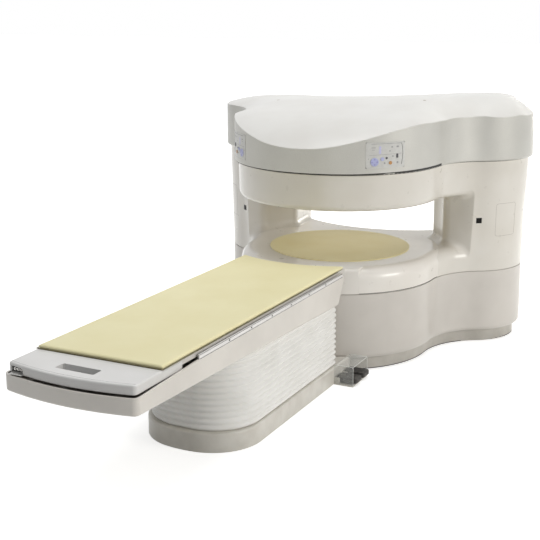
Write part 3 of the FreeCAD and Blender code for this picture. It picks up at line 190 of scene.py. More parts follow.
def vinyl(name, tones):
    """Matte coated vinyl over foam: a shallow pebble grain of 2.5 mm, a soft sheen, and tones that
    vary where the foam under it is pressed."""
    f = Finish(name)
    pebble = f.texture("Voronoi", 2.6, {"Randomness": 0.9})
    soft = f.relief(f.noise(90.0, 4.0, Roughness=0.55), 1.6, 0.25)
    return f.done(f.tones(260.0, tones, 0.3, 0.7), f.drift(40.0, 0.46, 0.58),
                  f.relief(pebble, 0.10, 0.5, soft), IOR=1.48, Sheen_Weight=0.08, Sheen_Roughness=0.5)


def coated_cloth(name, tones):
    """Polyester cloth with a thin polyurethane coat, folded into pleats: a plain weave of 1 mm, drawn
    at 3 mm so that it shows, and a dull sheen on the ridges. It follows the cloth's own UV in metres."""
    f = Finish(name, uv="cloth")
    warp, weft = (f.texture("Wave", 3.0, bands_direction=way).outputs["Fac"] for way in "XY")
    weave = add(f.tree, "Math", {0: warp, 1: weft}, operation="MULTIPLY")
    soft = f.relief(f.noise(45.0, 3.0), 1.2, 0.4)
    return f.done(f.tones(300.0, tones), f.drift(30.0, 0.55, 0.68),
                  f.relief(weave, 0.12, 0.35, soft), IOR=1.5, Sheen_Weight=0.12, Sheen_Roughness=0.6)


def brushed_metal(name, tones, along=(1.0, 0.03, 1.0), rough=0.34):
    """Extruded or ground metal with fine lines along its length, anodised or plated to a satin grey."""
    f = Finish(name, stretch=along)
    return f.done(f.tones(8.0, tones), f.drift(3.0, rough - 0.08, rough + 0.08),
                  f.relief(f.noise(1.2, 4.0), 0.03, 0.5), Metallic=1.0)


def powder_coat(name, tones, rough=0.5, metallic=0.0):
    """Powder-coated or painted steel: a fine orange peel of 1.5 mm over the sheet, drawn at 2.4 mm."""
    f = Finish(name)
    return f.done(f.tones(120.0, tones), f.drift(25.0, rough - 0.06, rough + 0.06),
                  f.relief(f.noise(2.4, 3.0), 0.12, 0.6), Metallic=metallic, IOR=1.5)


def cast_iron(name, tones):
    """Machined and painted magnet iron: turning marks show as faint rings through a thin primer."""
    f = Finish(name)
    rings = f.texture("Wave", 14.0, {"Distortion": 1.5, "Detail": 2.0}, wave_type="RINGS").outputs["Fac"]
    soft = f.relief(rings, 0.15, 0.3)
    return f.done(f.tones(180.0, tones), f.drift(30.0, 0.45, 0.62),
                  f.relief(f.noise(4.0, 5.0), 0.2, 0.5, soft), Metallic=0.6)


def cast_resin(name, tones):
    """Coil windings potted in epoxy and glass cloth: amber brown with the windings just showing."""
    f = Finish(name)
    windings = f.texture("Wave", 18.0, wave_type="RINGS", rings_direction="Z").outputs["Fac"]
    mixed = add(f.tree, "Mix", {"Factor": windings, 6: linear(tones[0]), 7: linear(tones[1])}, data_type="RGBA")
    return f.done(mixed.outputs[2], f.drift(20.0, 0.25, 0.4), f.relief(windings, 0.6, 0.6), IOR=1.55)


def rubber(name, tones):
    """Black nitrile rubber, press-moulded: dull, with a dusty bloom in the low places."""
    f = Finish(name)
    return f.done(f.tones(20.0, tones), f.drift(10.0, 0.6, 0.82),
                  f.relief(f.noise(14.0, 5.0), 0.3, 0.4), IOR=1.52)


def smoked_glass(name, tones):
    """Back-painted glass or a dark acrylic filter: deep and smooth, with faint wipe marks."""
    f = Finish(name)
    return f.done(f.tones(15.0, tones), f.drift(8.0, 0.22, 0.30), IOR=1.3, Specular_IOR_Level=0.25)


def clear_acrylic(name, tones):
    """Bent clear acrylic sheet, 4 mm thick, drawn as a pale thin veil so that the pedals keep their light."""
    f = Finish(name)
    return f.done(f.tones(40.0, tones), f.drift(14.0, 0.08, 0.2), IOR=1.49, Alpha=0.13)


def build_finishes(chosen):
    """Every finish by name, with the tones that the user sets."""
    own = {key: [getattr(chosen, f"{key}_{letter}") for letter in "ab"] for key in TONES}
    unstretched = (1.0, 1.0, 1.0)
    return {
        "cover": lacquer("lacquered_polyurethane_warm_white", own["cover"]),
        "base": lacquer("lacquered_polyurethane_base_white", own["base"]),
        "top": lacquer("lacquered_polyurethane_white", own["top"], 0.34, 0.2),
        "skirt": lacquer("lacquered_polyurethane_pearl", own["skirt"], 0.34, 0.25),
        "band": metallic("metallic_lacquer_silver_grey", own["band"]),
        "kick": powder_coat("powder_coated_steel_light_grey", ("#C9C5BD", "#BDB9B1"), 0.45),
        "pad": vinyl("laminate_skin_on_pole_cream", own["pad"]),
        "mattress": vinyl("coated_vinyl_pale_yellow", own["mattress"]),
        "bellows": coated_cloth("coated_polyester_cloth_off_white", own["cloth"]),
        "table": lacquer("lacquered_glass_fibre_table", own["table"], 0.32, 0.3),
        "cap": lacquer("lacquered_glass_fibre_cap", ("#DEDDDB", "#D5D4D1"), 0.36, 0.2),
        "board": lacquer("glass_fibre_laminate_board", ("#D8D5CF", "#CECAC3"), 0.42, 0.1),
        "plinth": powder_coat("painted_steel_plinth", ("#DEDBD3", "#D3CFC6"), 0.42),
        "rail": brushed_metal("anodised_aluminium_satin", ("#D2D0CE", "#C3C1BF"), rough=0.5),
        "screw": brushed_metal("blackened_screw_heads", ("#6C6B68", "#53524F"), unstretched, 0.4),
        # painted shade: black strips put where the gap under the band and the foot of the kick plates are dark
        "shadow": plastic("black_painted_shade_strip", ("#2B2A28", "#1D1C1B"), 0.7),
        "hatch": plastic("grey_hatch_gasket", ("#BDB7AE", "#AFA9A0"), 0.6),
        "panel": plastic("printed_polyester_foil_grey", ("#D3D3D0", "#CBCBC8"), 0.38, 1.0, 0.03),
        "lilac": plastic("printed_polyester_foil_lilac", ("#CFCEEC", "#C3C2E4"), 0.35, 1.0, 0.03),
        # printed legends, and also painted shade: the hand slot's floor and the line along the panel foil's top
        "print_and_shade": plastic("screen_print_and_painted_shade_grey", ("#A4A4A4", "#959596"), 0.5, 1.0, 0.02),
        "outline": plastic("foil_edge_in_shadow", ("#6F6F6B", "#626260"), 0.5, 1.0, 0.02),
        "blue": plastic("moulded_abs_pale_blue", ("#BDC1E6", "#B1B5DC"), 0.4, 1.2, 0.04),
        "lobe": plastic("printed_lobe_blue", ("#A3A3D4", "#9797CA"), 0.4, 1.0, 0.02),
        "amber": plastic("moulded_abs_amber", ("#BC8A50", "#AD7B42"), 0.4, 1.2, 0.04),
        "dark": plastic("moulded_abs_charcoal", ("#39393F", "#2B2B30"), 0.42, 1.2, 0.04),
        "window": smoked_glass("smoked_laser_window", ("#1E1C1B", "#121110")),
        "rubber": rubber("nitrile_rubber_black", ("#4A4845", "#33312F")),
        "bright": brushed_metal("nickel_plated_contacts", ("#E6E4E0", "#CFCDC9"), unstretched, 0.25),
        # painted shade: the piping's dark tone stands for the shadow under the pad's edge
        "seam": vinyl("vinyl_piping_in_shade", ("#655D38", "#58502F")),
        "socket": plastic("moulded_polyamide_black", ("#34322F", "#222120"), 0.5),
        "acrylic": clear_acrylic("clear_acrylic_hood", ("#F4F6F4", "#E6E9E6")),
        # partly the sawn edges' own frost, partly painted highlight along the hood's bend
        "acrylic_edge": plastic("acrylic_edge_frost_and_painted_highlight", ("#F3F4F2", "#E7E9E6"), 0.3, 1.0, 0.02),
        "iron": cast_iron("machined_magnet_iron_grey", ("#6B6E72", "#54575B")),
        "magnet": cast_iron("nickel_plated_magnet_blocks", ("#8A8C8E", "#6E7074")),
        "resin": cast_resin("epoxy_cast_coil_amber", ("#9A7240", "#6E4C26")),
        "steel": brushed_metal("zinc_plated_steel", ("#A7A9AB", "#83868A"), (1.0, 1.0, 0.2), 0.4),
        "drive": powder_coat("powder_coated_steel_drive_grey", ("#7C8085", "#6A6E73"), 0.48, 0.2),
        "belt": rubber("neoprene_belt_black", ("#232323", "#161616")),
    }


# -------- helpers for pieces
FINISHES = {}


def dress(finish, names):
    """Gives CAD nodes a finish and smooth shading that keeps their real edges sharp."""
    for name in names.split():
        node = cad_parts[name]
        node.data.materials.clear()
        node.data.materials.append(FINISHES[finish])
        shade(node.data)
        node.modifiers.new("join", "WELD").merge_threshold = 0.00002
        node.modifiers.new("edges", "EDGE_SPLIT").split_angle = radians(28)
        node.modifiers.new("shading", "WEIGHTED_NORMAL").keep_sharp = True


def put(name, data):
    """A new object in the scene."""
    obj = bpy.data.objects.new(name, data)
    bpy.context.scene.collection.objects.link(obj)
    return obj


def make_piece(name, mesh, finish, body):
    """A finished piece with its place in its mesh, riding on a body."""
    obj = put(name, mesh)
    mesh.materials.clear()
    mesh.materials.append(FINISHES[finish])
    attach(obj, body)
    return obj


def shade(mesh, smooth=True):
    mesh.polygons.foreach_set("use_smooth", [smooth] * len(mesh.polygons))
    return mesh


def mesh_from(bm, name):
    """The mesh of a bmesh, which is freed."""
    mesh = bpy.data.meshes.new(name)
    bm.to_mesh(mesh)
    bm.free()
    return mesh


def quads(bm, a, b):
    """Faces between two rings of vertices."""
    count = len(a)
    return [bm.faces.new((a[i], a[(i + 1) % count], b[(i + 1) % count], b[i])) for i in range(count)]


def piece(name, skins, finish, body, smooth=False, loop=False):
    """A finished piece of one or more skins. A skin is a list of rings of points: its ends are closed or,
    as a loop, its last ring is joined to its first."""
    bm = bmesh.new()
    for rings in skins:
        rows = [[bm.verts.new(point) for point in ring] for ring in rings]
        for a, b in zip(rows, rows[1:] + rows[:1] if loop else rows[1:]):
            quads(bm, a, b)
        if not loop:
            bm.faces.new(rows[0][::-1])
            bm.faces.new(rows[-1])
    bmesh.ops.remove_doubles(bm, verts=bm.verts, dist=1e-6)
    bmesh.ops.recalc_face_normals(bm, faces=bm.faces)
    return make_piece(name, shade(mesh_from(bm, "piece"), smooth), finish, body)


def turns(count):
    """Angles that divide a full turn."""
    return np.linspace(0, 2 * pi, count + 1)[:-1]


def between(a, b, count):
    """Points from a in equal steps towards b, without b itself."""
    return [tuple(p + (q - p) * k / count for p, q in zip(a, b)) for k in range(count)]


def outward(bearing):
    """The direction away from the pole axis at a bearing from the front, in radians."""
    return Vector((sin(bearing), -cos(bearing), 0))


def rounded(width, tall, radius, steps=6):
    """Outline of a rectangle with round corners, about its middle."""
    points = []
    for cx, cy, start in ((1, 1, 0), (-1, 1, 90), (-1, -1, 180), (1, -1, 270)):
        for i in range(steps + 1):
            a = radians(start + 90 * i / steps)
            points.append((cx * (width / 2 - radius) + radius * cos(a),
                           cy * (tall / 2 - radius) + radius * sin(a)))
    return points


def bar(width, tall):
    return rounded(width, tall, min(width, tall) * 0.3, 4)


def disc(radius):
    return rounded(2 * radius, 2 * radius, radius * 0.999, 8)


def rod(start, end, radius):
    """Rings of a thin eight-sided rod between two points."""
    along = (end - start).normalized()
    side = along.orthogonal().normalized()
    other = along.cross(side)
    return [[point + (side * cos(a) + other * sin(a)) * radius for a in turns(8)] for point in (start, end)]


def tree_of(node):
    """A search tree over a CAD node's surface."""
    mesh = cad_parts[node].data
    return BVHTree.FromPolygons([v.co for v in mesh.vertices], [tuple(p.vertices) for p in mesh.polygons])


def cast(surface, start, way, what):
    """The point and the normal where a ray meets a surface."""
    hit, normal = surface.ray_cast(start, way)[:2]
    if hit is None:
        raise RuntimeError(what + " misses its surface")
    return hit, normal


def evaluated(obj):
    """An object's evaluated mesh as a plain one."""
    graph = bpy.context.evaluated_depsgraph_get()
    return bpy.data.meshes.new_from_object(obj.evaluated_get(graph))


def mesh_of(obj):
    """An object's evaluated mesh, after which the object is dropped."""
    mesh = evaluated(obj)
    bpy.data.objects.remove(obj)
    return mesh


def coordinates(mesh):
    """The coordinates of a mesh's vertices, in rows."""
    spots = np.zeros(len(mesh.vertices) * 3)
    mesh.vertices.foreach_get("co", spots)
    return spots.reshape(-1, 3)


# -------- geometry nodes that repeat small things
def new_group(name, inputs):
    """A geometry nodes group with these inputs, as label, kind and value, and its input sockets."""
    tree = bpy.data.node_groups.new(name, "GeometryNodeTree")
    tree.interface.new_socket("Geometry", in_out="INPUT", socket_type="NodeSocketGeometry")
    for label, kind, value in inputs:
        tree.interface.new_socket(label, in_out="INPUT", socket_type="NodeSocket" + kind).default_value = value
    tree.interface.new_socket("Geometry", in_out="OUTPUT", socket_type="NodeSocketGeometry")
    return tree, add(tree, "NodeGroupInput").outputs


def grow(name, mesh, tree, instances, finish):
    """Ends a group with its instances made real and painted, and gives the mesh it makes on a mesh."""
    real = add(tree, "GeometryNodeRealizeInstances", {"Geometry": instances})
    painted = add(tree, "GeometryNodeSetMaterial", {"Geometry": real, "Material": FINISHES[finish]})
    add(tree, "NodeGroupOutput", {"Geometry": painted})
    holder = put(name + "_holder", mesh)
    holder.modifiers.new("growth", "NODES").node_group = tree
    bpy.context.view_layer.update()
    return shade(mesh_of(holder), False)


def screws(name, places, radius, height, finish, body):
    """Screw heads with a hexagon recess at (point, direction) places."""
    bm = bmesh.new()
    for point, facing in places:
        facing = Vector(facing).normalized()
        side = facing.orthogonal().normalized() * 0.0005
        other = facing.cross(side)
        bm.faces.new([bm.verts.new(Vector(point) + offset) for offset in (side, other, -side, -other)])
    seats = mesh_from(bm, name + "_seats")
    tree, given = new_group(name + "_heads", (("Radius", "Float", radius), ("Height", "Float", height)))
    head = add(tree, "GeometryNodeMeshCylinder", {
        "Vertices": 20, "Radius": given["Radius"], "Depth": given["Height"]})
    narrow = add(tree, "Math", {0: given["Radius"], 1: 0.62}, operation="MULTIPLY")
    raised = add(tree, "Math", {0: given["Height"], 1: 0.6}, operation="MULTIPLY")
    recess = add(tree, "GeometryNodeMeshCylinder", {"Vertices": 6, "Radius": narrow, "Depth": given["Height"]})
    lift = add(tree, "CombineXYZ", {"Z": raised})
    moved = add(tree, "GeometryNodeTransform", {"Geometry": recess, "Translation": lift})
    cut = add(tree, "GeometryNodeMeshBoolean", {"Mesh 1": head, "Mesh 2": moved}, operation="DIFFERENCE")
    facing = add(tree, "GeometryNodeInputNormal")
    turn = add(tree, "FunctionNodeAlignRotationToVector", {"Vector": facing}, axis="Z")
    held = add(tree, "GeometryNodeCaptureAttribute", {"Geometry": given["Geometry"]}, domain="FACE")
    held.capture_items.new("ROTATION", "Turn")
    tree.links.new(turn.outputs["Rotation"], held.inputs["Turn"])
    spots = add(tree, "GeometryNodeMeshToPoints", {"Mesh": held}, mode="FACES")
    stand = add(tree, "GeometryNodeInstanceOnPoints", {
        "Points": spots, "Instance": cut, "Rotation": held.outputs["Turn"]})
    make_piece(name, grow(name, seats, tree, stand, finish), finish, body)


# -------- properties
TONES = {
    "cover": ("#E4E0D8", "#DDD8CE"), "base": ("#F3EFE8", "#ECE7DF"), "top": ("#DEDDD9", "#D8D6D1"),
    "skirt": ("#D9D4CD", "#D0CBC4"), "band": ("#C9C8C2", "#BFBEB8"), "pad": ("#F6ECBC", "#F1E5AF"),
    "mattress": ("#EAE3B7", "#E6DEAF"), "cloth": ("#F8F7F4", "#F1F0EC"), "table": ("#E2DDD5", "#D9D4CC")}


class ScannerTones(bpy.types.PropertyGroup):
    """Colours of the large finishes, each as two close tones."""
    __annotations__ = {
        f"{name}_{letter}": bpy.props.StringProperty(
            name=f"{name.capitalize()} tone {letter}", description="An sRGB hex code", default=code)
        for name, codes in TONES.items() for letter, code in zip("ab", codes)}


def length(name, description, default, low, high):
    return bpy.props.FloatProperty(name=name, description=description, default=default, min=low, max=high,
                                   unit="LENGTH")


class ScannerSizes(bpy.types.PropertyGroup):
    """Sizes that a user may change."""
    mattress_voxel: length("Mattress voxel", "Size of the padded mattress's cells", 0.0075, 0.004, 0.02)
    mattress_swell: length("Mattress swell", "How far the padding may push its cover out", 0.004, 0.0, 0.03)
    pleat_steps: bpy.props.IntProperty(
        name="Pleat steps", description="Faces across one fold of the bellows", default=10, min=4, max=24)
    hatch_width: length("Hatch width", "Width of the service hatch in each column", 0.200, 0.1, 0.3)
    hatch_height: length("Hatch height", "Height of the service hatch in each column", 0.268, 0.1, 0.4)


# -------- covers
def hatches(sizes):
    """The joint round the service hatch in each column: a narrow gasket line with round corners."""
    width, tall = sizes.hatch_width, sizes.hatch_height
    outer = divide(rounded(width, tall, 0.022, 8), 10)
    inner = divide(rounded(width - 0.005, tall - 0.005, 0.0195, 8), 10)
    for side, sign in SIDES.items():
        surface = tree_of(side + "_column_cover")
        middle = -HATCH_BEARING if side == "right" else 180 + HATCH_BEARING + LEFT_TURN

        def on_cover(u, v, proud):
            angle = radians(middle) + sign * u / FLANK_R
            out = Vector((cos(angle), sin(angle), 0))
            start = Vector((*FLANK_MIDDLES[side], HATCH_Z + v)) + out * 0.8
            return cast(surface, start, -out, "the hatch")[0] + out * proud

        rings = [[on_cover(u, v, proud) for u, v in line]
                 for line, proud in ((outer, -0.0004), (outer, 0.0005), (inner, 0.0005), (inner, -0.0004))]
        piece(side + "_hatch_joint", [rings], "hatch", "scanner", loop=True)


def divide(outline, parts):
    """An outline with its straight sides divided, so that it can follow a curved cover."""
    out = []
    for a, b in zip(outline, outline[1:] + outline[:1]):
        out += between(a, b, parts if dist(a, b) > 0.05 else 1)
    return out


def band_gap_shade():
    """Painted shade in the gap along the band's lower edge: a black wedge that widens to its right end."""
    surface = tree_of("front_band")
    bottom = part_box("front_band")[0].z + 0.0012
    rings = []
    for bearing in np.linspace(STRIP_START, STRIP_END, 120):
        share = (bearing - STRIP_START) / (STRIP_END - STRIP_START)
        tall = 0.007 + 0.006 * share + 0.014 * max(0.0, share - 0.6) / 0.4
        tall *= min(1.0, 0.25 + (STRIP_END - bearing) * 1.5)
        out = outward(radians(bearing))
        hits = [cast(surface, out * 1.3 + UP * (bottom + tall * level), -out, "the sealing strip")[0]
                for level in (0.0, 0.3, 0.7, 1.0)]
        rings.append([hit + out * 0.0007 for hit in hits] + [hit - out * 0.0006 for hit in reversed(hits)])
    piece("band_gap_painted_shade", [rings], "shadow", "scanner")


def belt(name, node, rises, finish):
    """A thin dark line round a cover at these heights over its foot, in as many runs as it has."""
    surface = tree_of(node)
    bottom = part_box(node)[0].z
    runs = [[]]
    for bearing in np.linspace(-pi, pi, 361):
        out = outward(bearing)
        hits = [surface.ray_cast(out * 2.4 + UP * (bottom + rise), -out)[0] for rise in rises]
        if None in hits or (runs[-1] and (hits[0] - runs[-1][-1][0][0]).length > 0.06):
            runs.append([])
        if None not in hits:
            runs[-1].append((hits, out))
    skins = [[[hit + out * 0.0008 for hit in hits] + [hit - out * 0.0006 for hit in reversed(hits)]
              for hits, out in run] for run in runs if len(run) > 2]
    piece(name, skins, finish, "scanner")


def plugs():
    """Caps over the lifting eyes in the top cover."""
    surface = tree_of("top_cover")
    skins = []
    for x, y in PLUGS:
        hit, normal = cast(surface, Vector((x, y, 3)), -UP, "a plug")
        turn = UP.rotation_difference(-normal if normal.z < 0 else normal).to_matrix()
        skins.append([[hit + turn @ Vector((radius * cos(a), radius * sin(a), height))
                       for a in turns(24)] for radius, height in PLUG_PROFILE])
    piece("top_plugs", skins, "hatch", "scanner", smooth=True)


class SCANNER_OT_covers(bpy.types.Operator):
    """Finishes the moulded covers and adds the service hatches, the plugs, the dark joints and painted shade under
    the band and at the kick plates' foot
    """
    bl_idname = "scanner.covers"
    bl_label = "Covers"

    def execute(self, context):
        FINISHES.update(build_finishes(context.scene.scanner_tones))
        dress("cover", "drum_cover left_column_cover right_column_cover")
        dress("base", "base_top_cover dock_cover")
        dress("top", "top_cover")
        dress("skirt", "front_skirt left_skirt right_skirt")
        dress("band", "front_band rear_band")
        dress("kick", "kick_plates")
        dress("pad", "pole_pad")
        dress("window", "laser_windows")
        hatches(context.scene.scanner_sizes)
        plugs()
        band_gap_shade()
        # painted shadow: a dark line where the kick plates meet the floor
        belt("kick_floor_painted_shadow", "kick_plates", (0.0008, 0.0035, 0.0065), "shadow")
        belt("shoulder_joint", "base_top_cover", (0.0004, 0.0022, 0.0040), "outline")
        return {"FINISHED"}


# -------- control panels
FACE = 0.848               # the panel's face, about the pole axis
SUNK = 0.0006              # how deep the marks stand in it
# paths as bearings and heights: painted shade along the foil's outer side, which bulges, and along its top, and the
# dividing line
EDGE = ((54.55, 1.733), (55.15, 1.705), (55.40, 1.664), (55.20, 1.620), (54.65, 1.576))
TOP_LINE = ((38.2, 1.7325), (46.0, 1.7335), (54.4, 1.7335))
MIDDLE_LINE = ((37.2, 1.6510), (54.6, 1.6580))
# finish, slot, how far the marks stand out, and each mark's bearing, height and outline
MARKS = {
    "display": ("lilac", "panel_lilac", 0.0005, [(42.8, 1.687, bar(0.016, 0.058))]),
    "amber_ring": ("panel", "panel_lilac", 0.0005, [(48.4, 1.592, disc(0.021))]),
    "legends": ("print_and_shade", "panel_lilac", 0.0005, [
        (52.3, 1.7086, bar(0.020, 0.012)), (49.2, 1.7074, bar(0.014, 0.010)),
        (48.0, 1.6785, bar(0.012, 0.008)), (39.4, 1.705, bar(0.030, 0.005)),
        (39.4, 1.690, bar(0.022, 0.004)), (49.7, 1.640, bar(0.012, 0.010)),
        (52.35, 1.5928, bar(0.016, 0.016)), (45.3, 1.5912, disc(0.007)),
        (36.9, 1.625, bar(0.006, 0.006))]),
    "dark_key": ("dark", "key_dark", 0.0022, [(46.3, 1.6276, disc(0.0085))]), }


def spot(sign, bearing, z, proud):
    """A point over the panel's face, at a bearing in radians."""
    radius = FACE + proud
    return (sign * radius * sin(bearing), -radius * cos(bearing), z)


def patch(sign, bearing, z, outline, proud):
    """Rings of a thin raised patch, from an outline about its middle."""
    return [[spot(sign, radians(bearing) + u / (FACE + height), z + v, height)
             for u, v in outline] for height in (-SUNK, proud)]


def stroke(sign, path, width, proud):
    """Rings of a thin line printed along a path."""
    spots = []
    for a, b in zip(path, path[1:]):
        spots += between(a, b, 8)
    spots.append(path[-1])
    rings = []
    for i, (bearing, z) in enumerate(spots):
        before, after = spots[max(0, i - 1)], spots[min(len(spots) - 1, i + 1)]
        run, rise = radians(after[0] - before[0]) * FACE, after[1] - before[1]
        half = width / 2 / hypot(run, rise)
        rings.append([spot(sign, radians(bearing) - share * rise * half / FACE, z + share * run * half, height)
                      for share, height in ((-1, -SUNK), (1, -SUNK), (1, proud), (-1, proud))])
    return rings


def arrows(side):
    """Four darker lobes on the pad, one for each direction, which travel with it."""
    low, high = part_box(side + "_arrow_pad")
    centre = (low + high) / 2
    out = Vector((centre.x, centre.y, 0)).normalized()
    across = Vector((-out.y, out.x, 0))
    surface = tree_of(side + "_arrow_pad")
    skins = []
    for a in turns(4):
        start = centre + (across * cos(a) + UP * sin(a)) * 0.0195 + out * 0.2
        hit = cast(surface, start, -out, "a direction mark")[0]
        skins.append([[hit + out * height + across * u + UP * v for u, v in rounded(0.0125, 0.0125, 0.0062, 5)]
                      for height in (-0.0005, 0.0005)])
    piece(side + "_arrow_lobes", skins, "lobe", side + "_arrow_pad")


class SCANNER_OT_panels(bpy.types.Operator):
    """Finishes the two control panels and adds their printed fields, display and small keys"""
    bl_idname = "scanner.panels"
    bl_label = "Control panels"

    def execute(self, context):
        for side, sign in SIDES.items():
            dress("panel", side + "_panel")
            dress("blue", side + "_arrow_pad " + side + "_blue_key")
            dress("amber", side + "_amber_key")
            dress("dark", side + "_stop_key")
            for name, (finish, slot, proud, marks) in MARKS.items():
                skins = [patch(sign, *mark, proud) for mark in marks]
                piece(f"{side}_panel_{name}", skins, finish, "scanner")
            # painted shade: dark lines where the foil's outer side and its top are shaded; MIDDLE_LINE is the
            # dividing line
            edge = stroke(sign, EDGE, 0.0042, 0.0006)
            fine = [stroke(sign, TOP_LINE, 0.0030, 0.0006), stroke(sign, MIDDLE_LINE, 0.0020, 0.0005)]
            piece(side + "_panel_edge", [edge], "outline", "scanner")
            piece(side + "_panel_lines", fine, "print_and_shade", "scanner")
            arrows(side)
        return {"FINISHED"}


# -------- patient table
SCREW_REACH = (0.296, 0.341)   # the first and the last rail screw, from the rail's ends
SLOT_Y = -3.456                # middle of the hand slot
SOCKET_PLACES = (-0.362, -0.340, -0.318)
SOCKET_R = 0.0082


def rails():
    """Small screws along each side rail, and shadow lines along its upper and its lower edge."""
    low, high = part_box("side_rails")
    z = (low.z + high.z) / 2
    places = [((sign * (high.x + 0.0001), y, z), (sign, 0, 0)) for sign in (1, -1)
              for y in np.linspace(high.y - SCREW_REACH[0], low.y + SCREW_REACH[1], 6)]
    screws("rail_screws", places, 0.0062, 0.0020, "screw", "lift")
    half, near, far = 0.0017, low.y + 0.004, high.y - 0.004
    corners = ((near, -half), (far, -half), (far, half), (near, half))
    skins = [[[(sign * (high.x + proud), y, z + rise) for y, rise in corners] for proud in (-0.0004, 0.0005)]
             for sign in (1, -1) for z in (low.z + 0.0016, high.z - 0.0030)]
    piece("rail_shadow_lines", skins, "outline", "lift")


def slot_shade():
    """Painted shade: a grey sheet on the floor of the hand slot, where the slot is dark."""
    outline = rounded(0.247, 0.073, 0.0065, 4)
    rings = [[(u, SLOT_Y + v, z) for u, v in outline] for z in (0.8026, 0.8045)]
    piece("hand_slot_painted_shade", [rings], "print_and_shade", "tabletop")


def sockets():
    """The coil sockets in the recess of the foot cap: a ledge, a black block and bright rings."""
    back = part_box("foot_cap")[0].y + RECESS_DEPTH

    def block(outline, z, near, far):
        return [[[(RECESS_X + u, back - depth, z + v) for u, v in outline] for depth in (near, far)]]

    outer = [(SOCKET_R * cos(a), SOCKET_R * sin(a)) for a in turns(24)]
    inner = [(0.62 * u, 0.62 * v) for u, v in outer]
    rings = [[[(x + u, back - depth, 0.8065 + v) for u, v in outline]
              for outline, depth in ((outer, 0.0455), (outer, 0.0560), (inner, 0.0560), (inner, 0.0455))]
             for x in SOCKET_PLACES]
    piece("coil_socket_block", block(rounded(0.091, 0.029, 0.002, 4), 0.8055, 0.0005, 0.0460),
          "socket", "tabletop")
    piece("coil_socket_ledge", block(rounded(0.090, 0.0025, 0.0012, 3), 0.7873, 0.001, 0.090),
          "cap", "tabletop")
    piece("coil_socket_rings", rings, "bright", "tabletop", smooth=True, loop=True)


def cap_line():
    """The parting line that follows the cap's bowed front on its top."""
    low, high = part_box("foot_cap")
    half = high.x - 0.012
    front = low.y + 0.021 + CAP_BOW_R
    profile = ((0.0, -0.0004), (0.0, 0.0003), (0.0016, 0.0003), (0.0016, -0.0004))
    rings = [[(x, front + offset - sqrt(CAP_BOW_R ** 2 - x * x), high.z + rise) for offset, rise in profile]
             for x in np.linspace(-half, half, 49)]
    piece("cap_parting_line", [rings], "outline", "tabletop")


class SCANNER_OT_table(bpy.types.Operator):
    """Finishes the table's frame, plinth, cap, board and rails, and adds screws, lines and sockets"""
    bl_idname = "scanner.table"
    bl_label = "Table"

    def execute(self, context):
        dress("table", "table_frame")
        dress("cap", "foot_cap")
        dress("board", "tabletop")
        dress("plinth", "plinth_cover")
        dress("rail", "side_rails slide_rails")
        rails()
        # painted shade in the hand slot
        slot_shade()
        sockets()
        cap_line()
        return {"FINISHED"}


# -------- mattress
SHRINK = (0.006, 0.006, 0.004)    # room for the swell, so that the pad stays in the solid's box
SKEW = 0.017               # the pad was cut this much out of square at its foot end
SKEW_RUN = 0.6             # over this length


def shrink(mesh, low, high):
    """Makes room for the swell inside the solid's own box."""
    middle = (low + high) / 2
    factor = [1 - room / (high[i] - low[i]) for i, room in enumerate(SHRINK)]
    for v in mesh.vertices:
        v.co = Vector([middle[i] + (v.co[i] - middle[i]) * factor[i] for i in range(3)])


def swell(context, pad, sizes):
    """Voxel remesh, then cloth with pressure and no gravity, with its swell capped."""
    remesh = pad.modifiers.new("cells", "REMESH")
    remesh.mode = "VOXEL"
    remesh.voxel_size = sizes.mattress_voxel
    mesh = evaluated(pad)
    pad.modifiers.remove(remesh)
    pad.data = mesh
    rest = coordinates(mesh)
    cloth = pad.modifiers.new("padding", "CLOTH")
    cloth.settings.quality = 3
    cloth.settings.use_pressure = True
    cloth.settings.uniform_pressure_force = 4.0
    cloth.settings.effector_weights.gravity = 0.0
    cloth.point_cache.frame_start = 1
    cloth.point_cache.frame_end = 20
    for step in range(1, 13):
        context.scene.frame_set(step)
    swollen = evaluated(pad)
    pad.modifiers.remove(cloth)
    context.scene.frame_set(1)
    step = coordinates(swollen) - rest
    length = np.linalg.norm(step, axis=1, keepdims=True)
    step *= np.minimum(1.0, sizes.mattress_swell / np.maximum(length, 1e-9))
    swollen.vertices.foreach_set("co", (rest + step).ravel())
    pad.data = swollen


def settle(mesh, low, high):
    """Sets the foot end out of square, as the real pad's is, and the pad flat on the board."""
    for v in mesh.vertices:
        near_foot = max(0.0, min(1.0, (low.y + SKEW_RUN - v.co.y) / SKEW_RUN))
        v.co.y += SKEW * near_foot * (v.co.x - low.x) / (high.x - low.x)
        v.co.z = max(v.co.z, low.z + 0.0003)


def seam(low, high):
    """The sewn seam round the pad's lower edge, a thin cord at its foot and sides, given a dark tone as painted
    shade under the pad's edge.
    """
    half, foot, rear = (high.x - low.x) / 2 - 0.001, low.y + 0.0006, high.y - 0.12
    corners = ((-half, rear), (-half, foot), (half, foot + SKEW), (half, rear))
    z, radius = low.z + 0.0032, 0.003
    path = []
    for a, b in zip(corners, corners[1:]):
        path += [Vector((*spot, z)) for spot in between(a, b, max(2, int(dist(a, b) / 0.06)))]
    path.append(Vector((*corners[-1], z)))
    rings = []
    for i, point in enumerate(path):
        along = (path[min(i + 1, len(path) - 1)] - path[max(i - 1, 0)]).normalized()
        side = along.cross(UP).normalized()
        rings.append([point + (side * cos(a) + UP * sin(a)) * radius for a in turns(8)])
    piece("mattress_seam_in_shade", [rings], "seam", "tabletop", smooth=True)


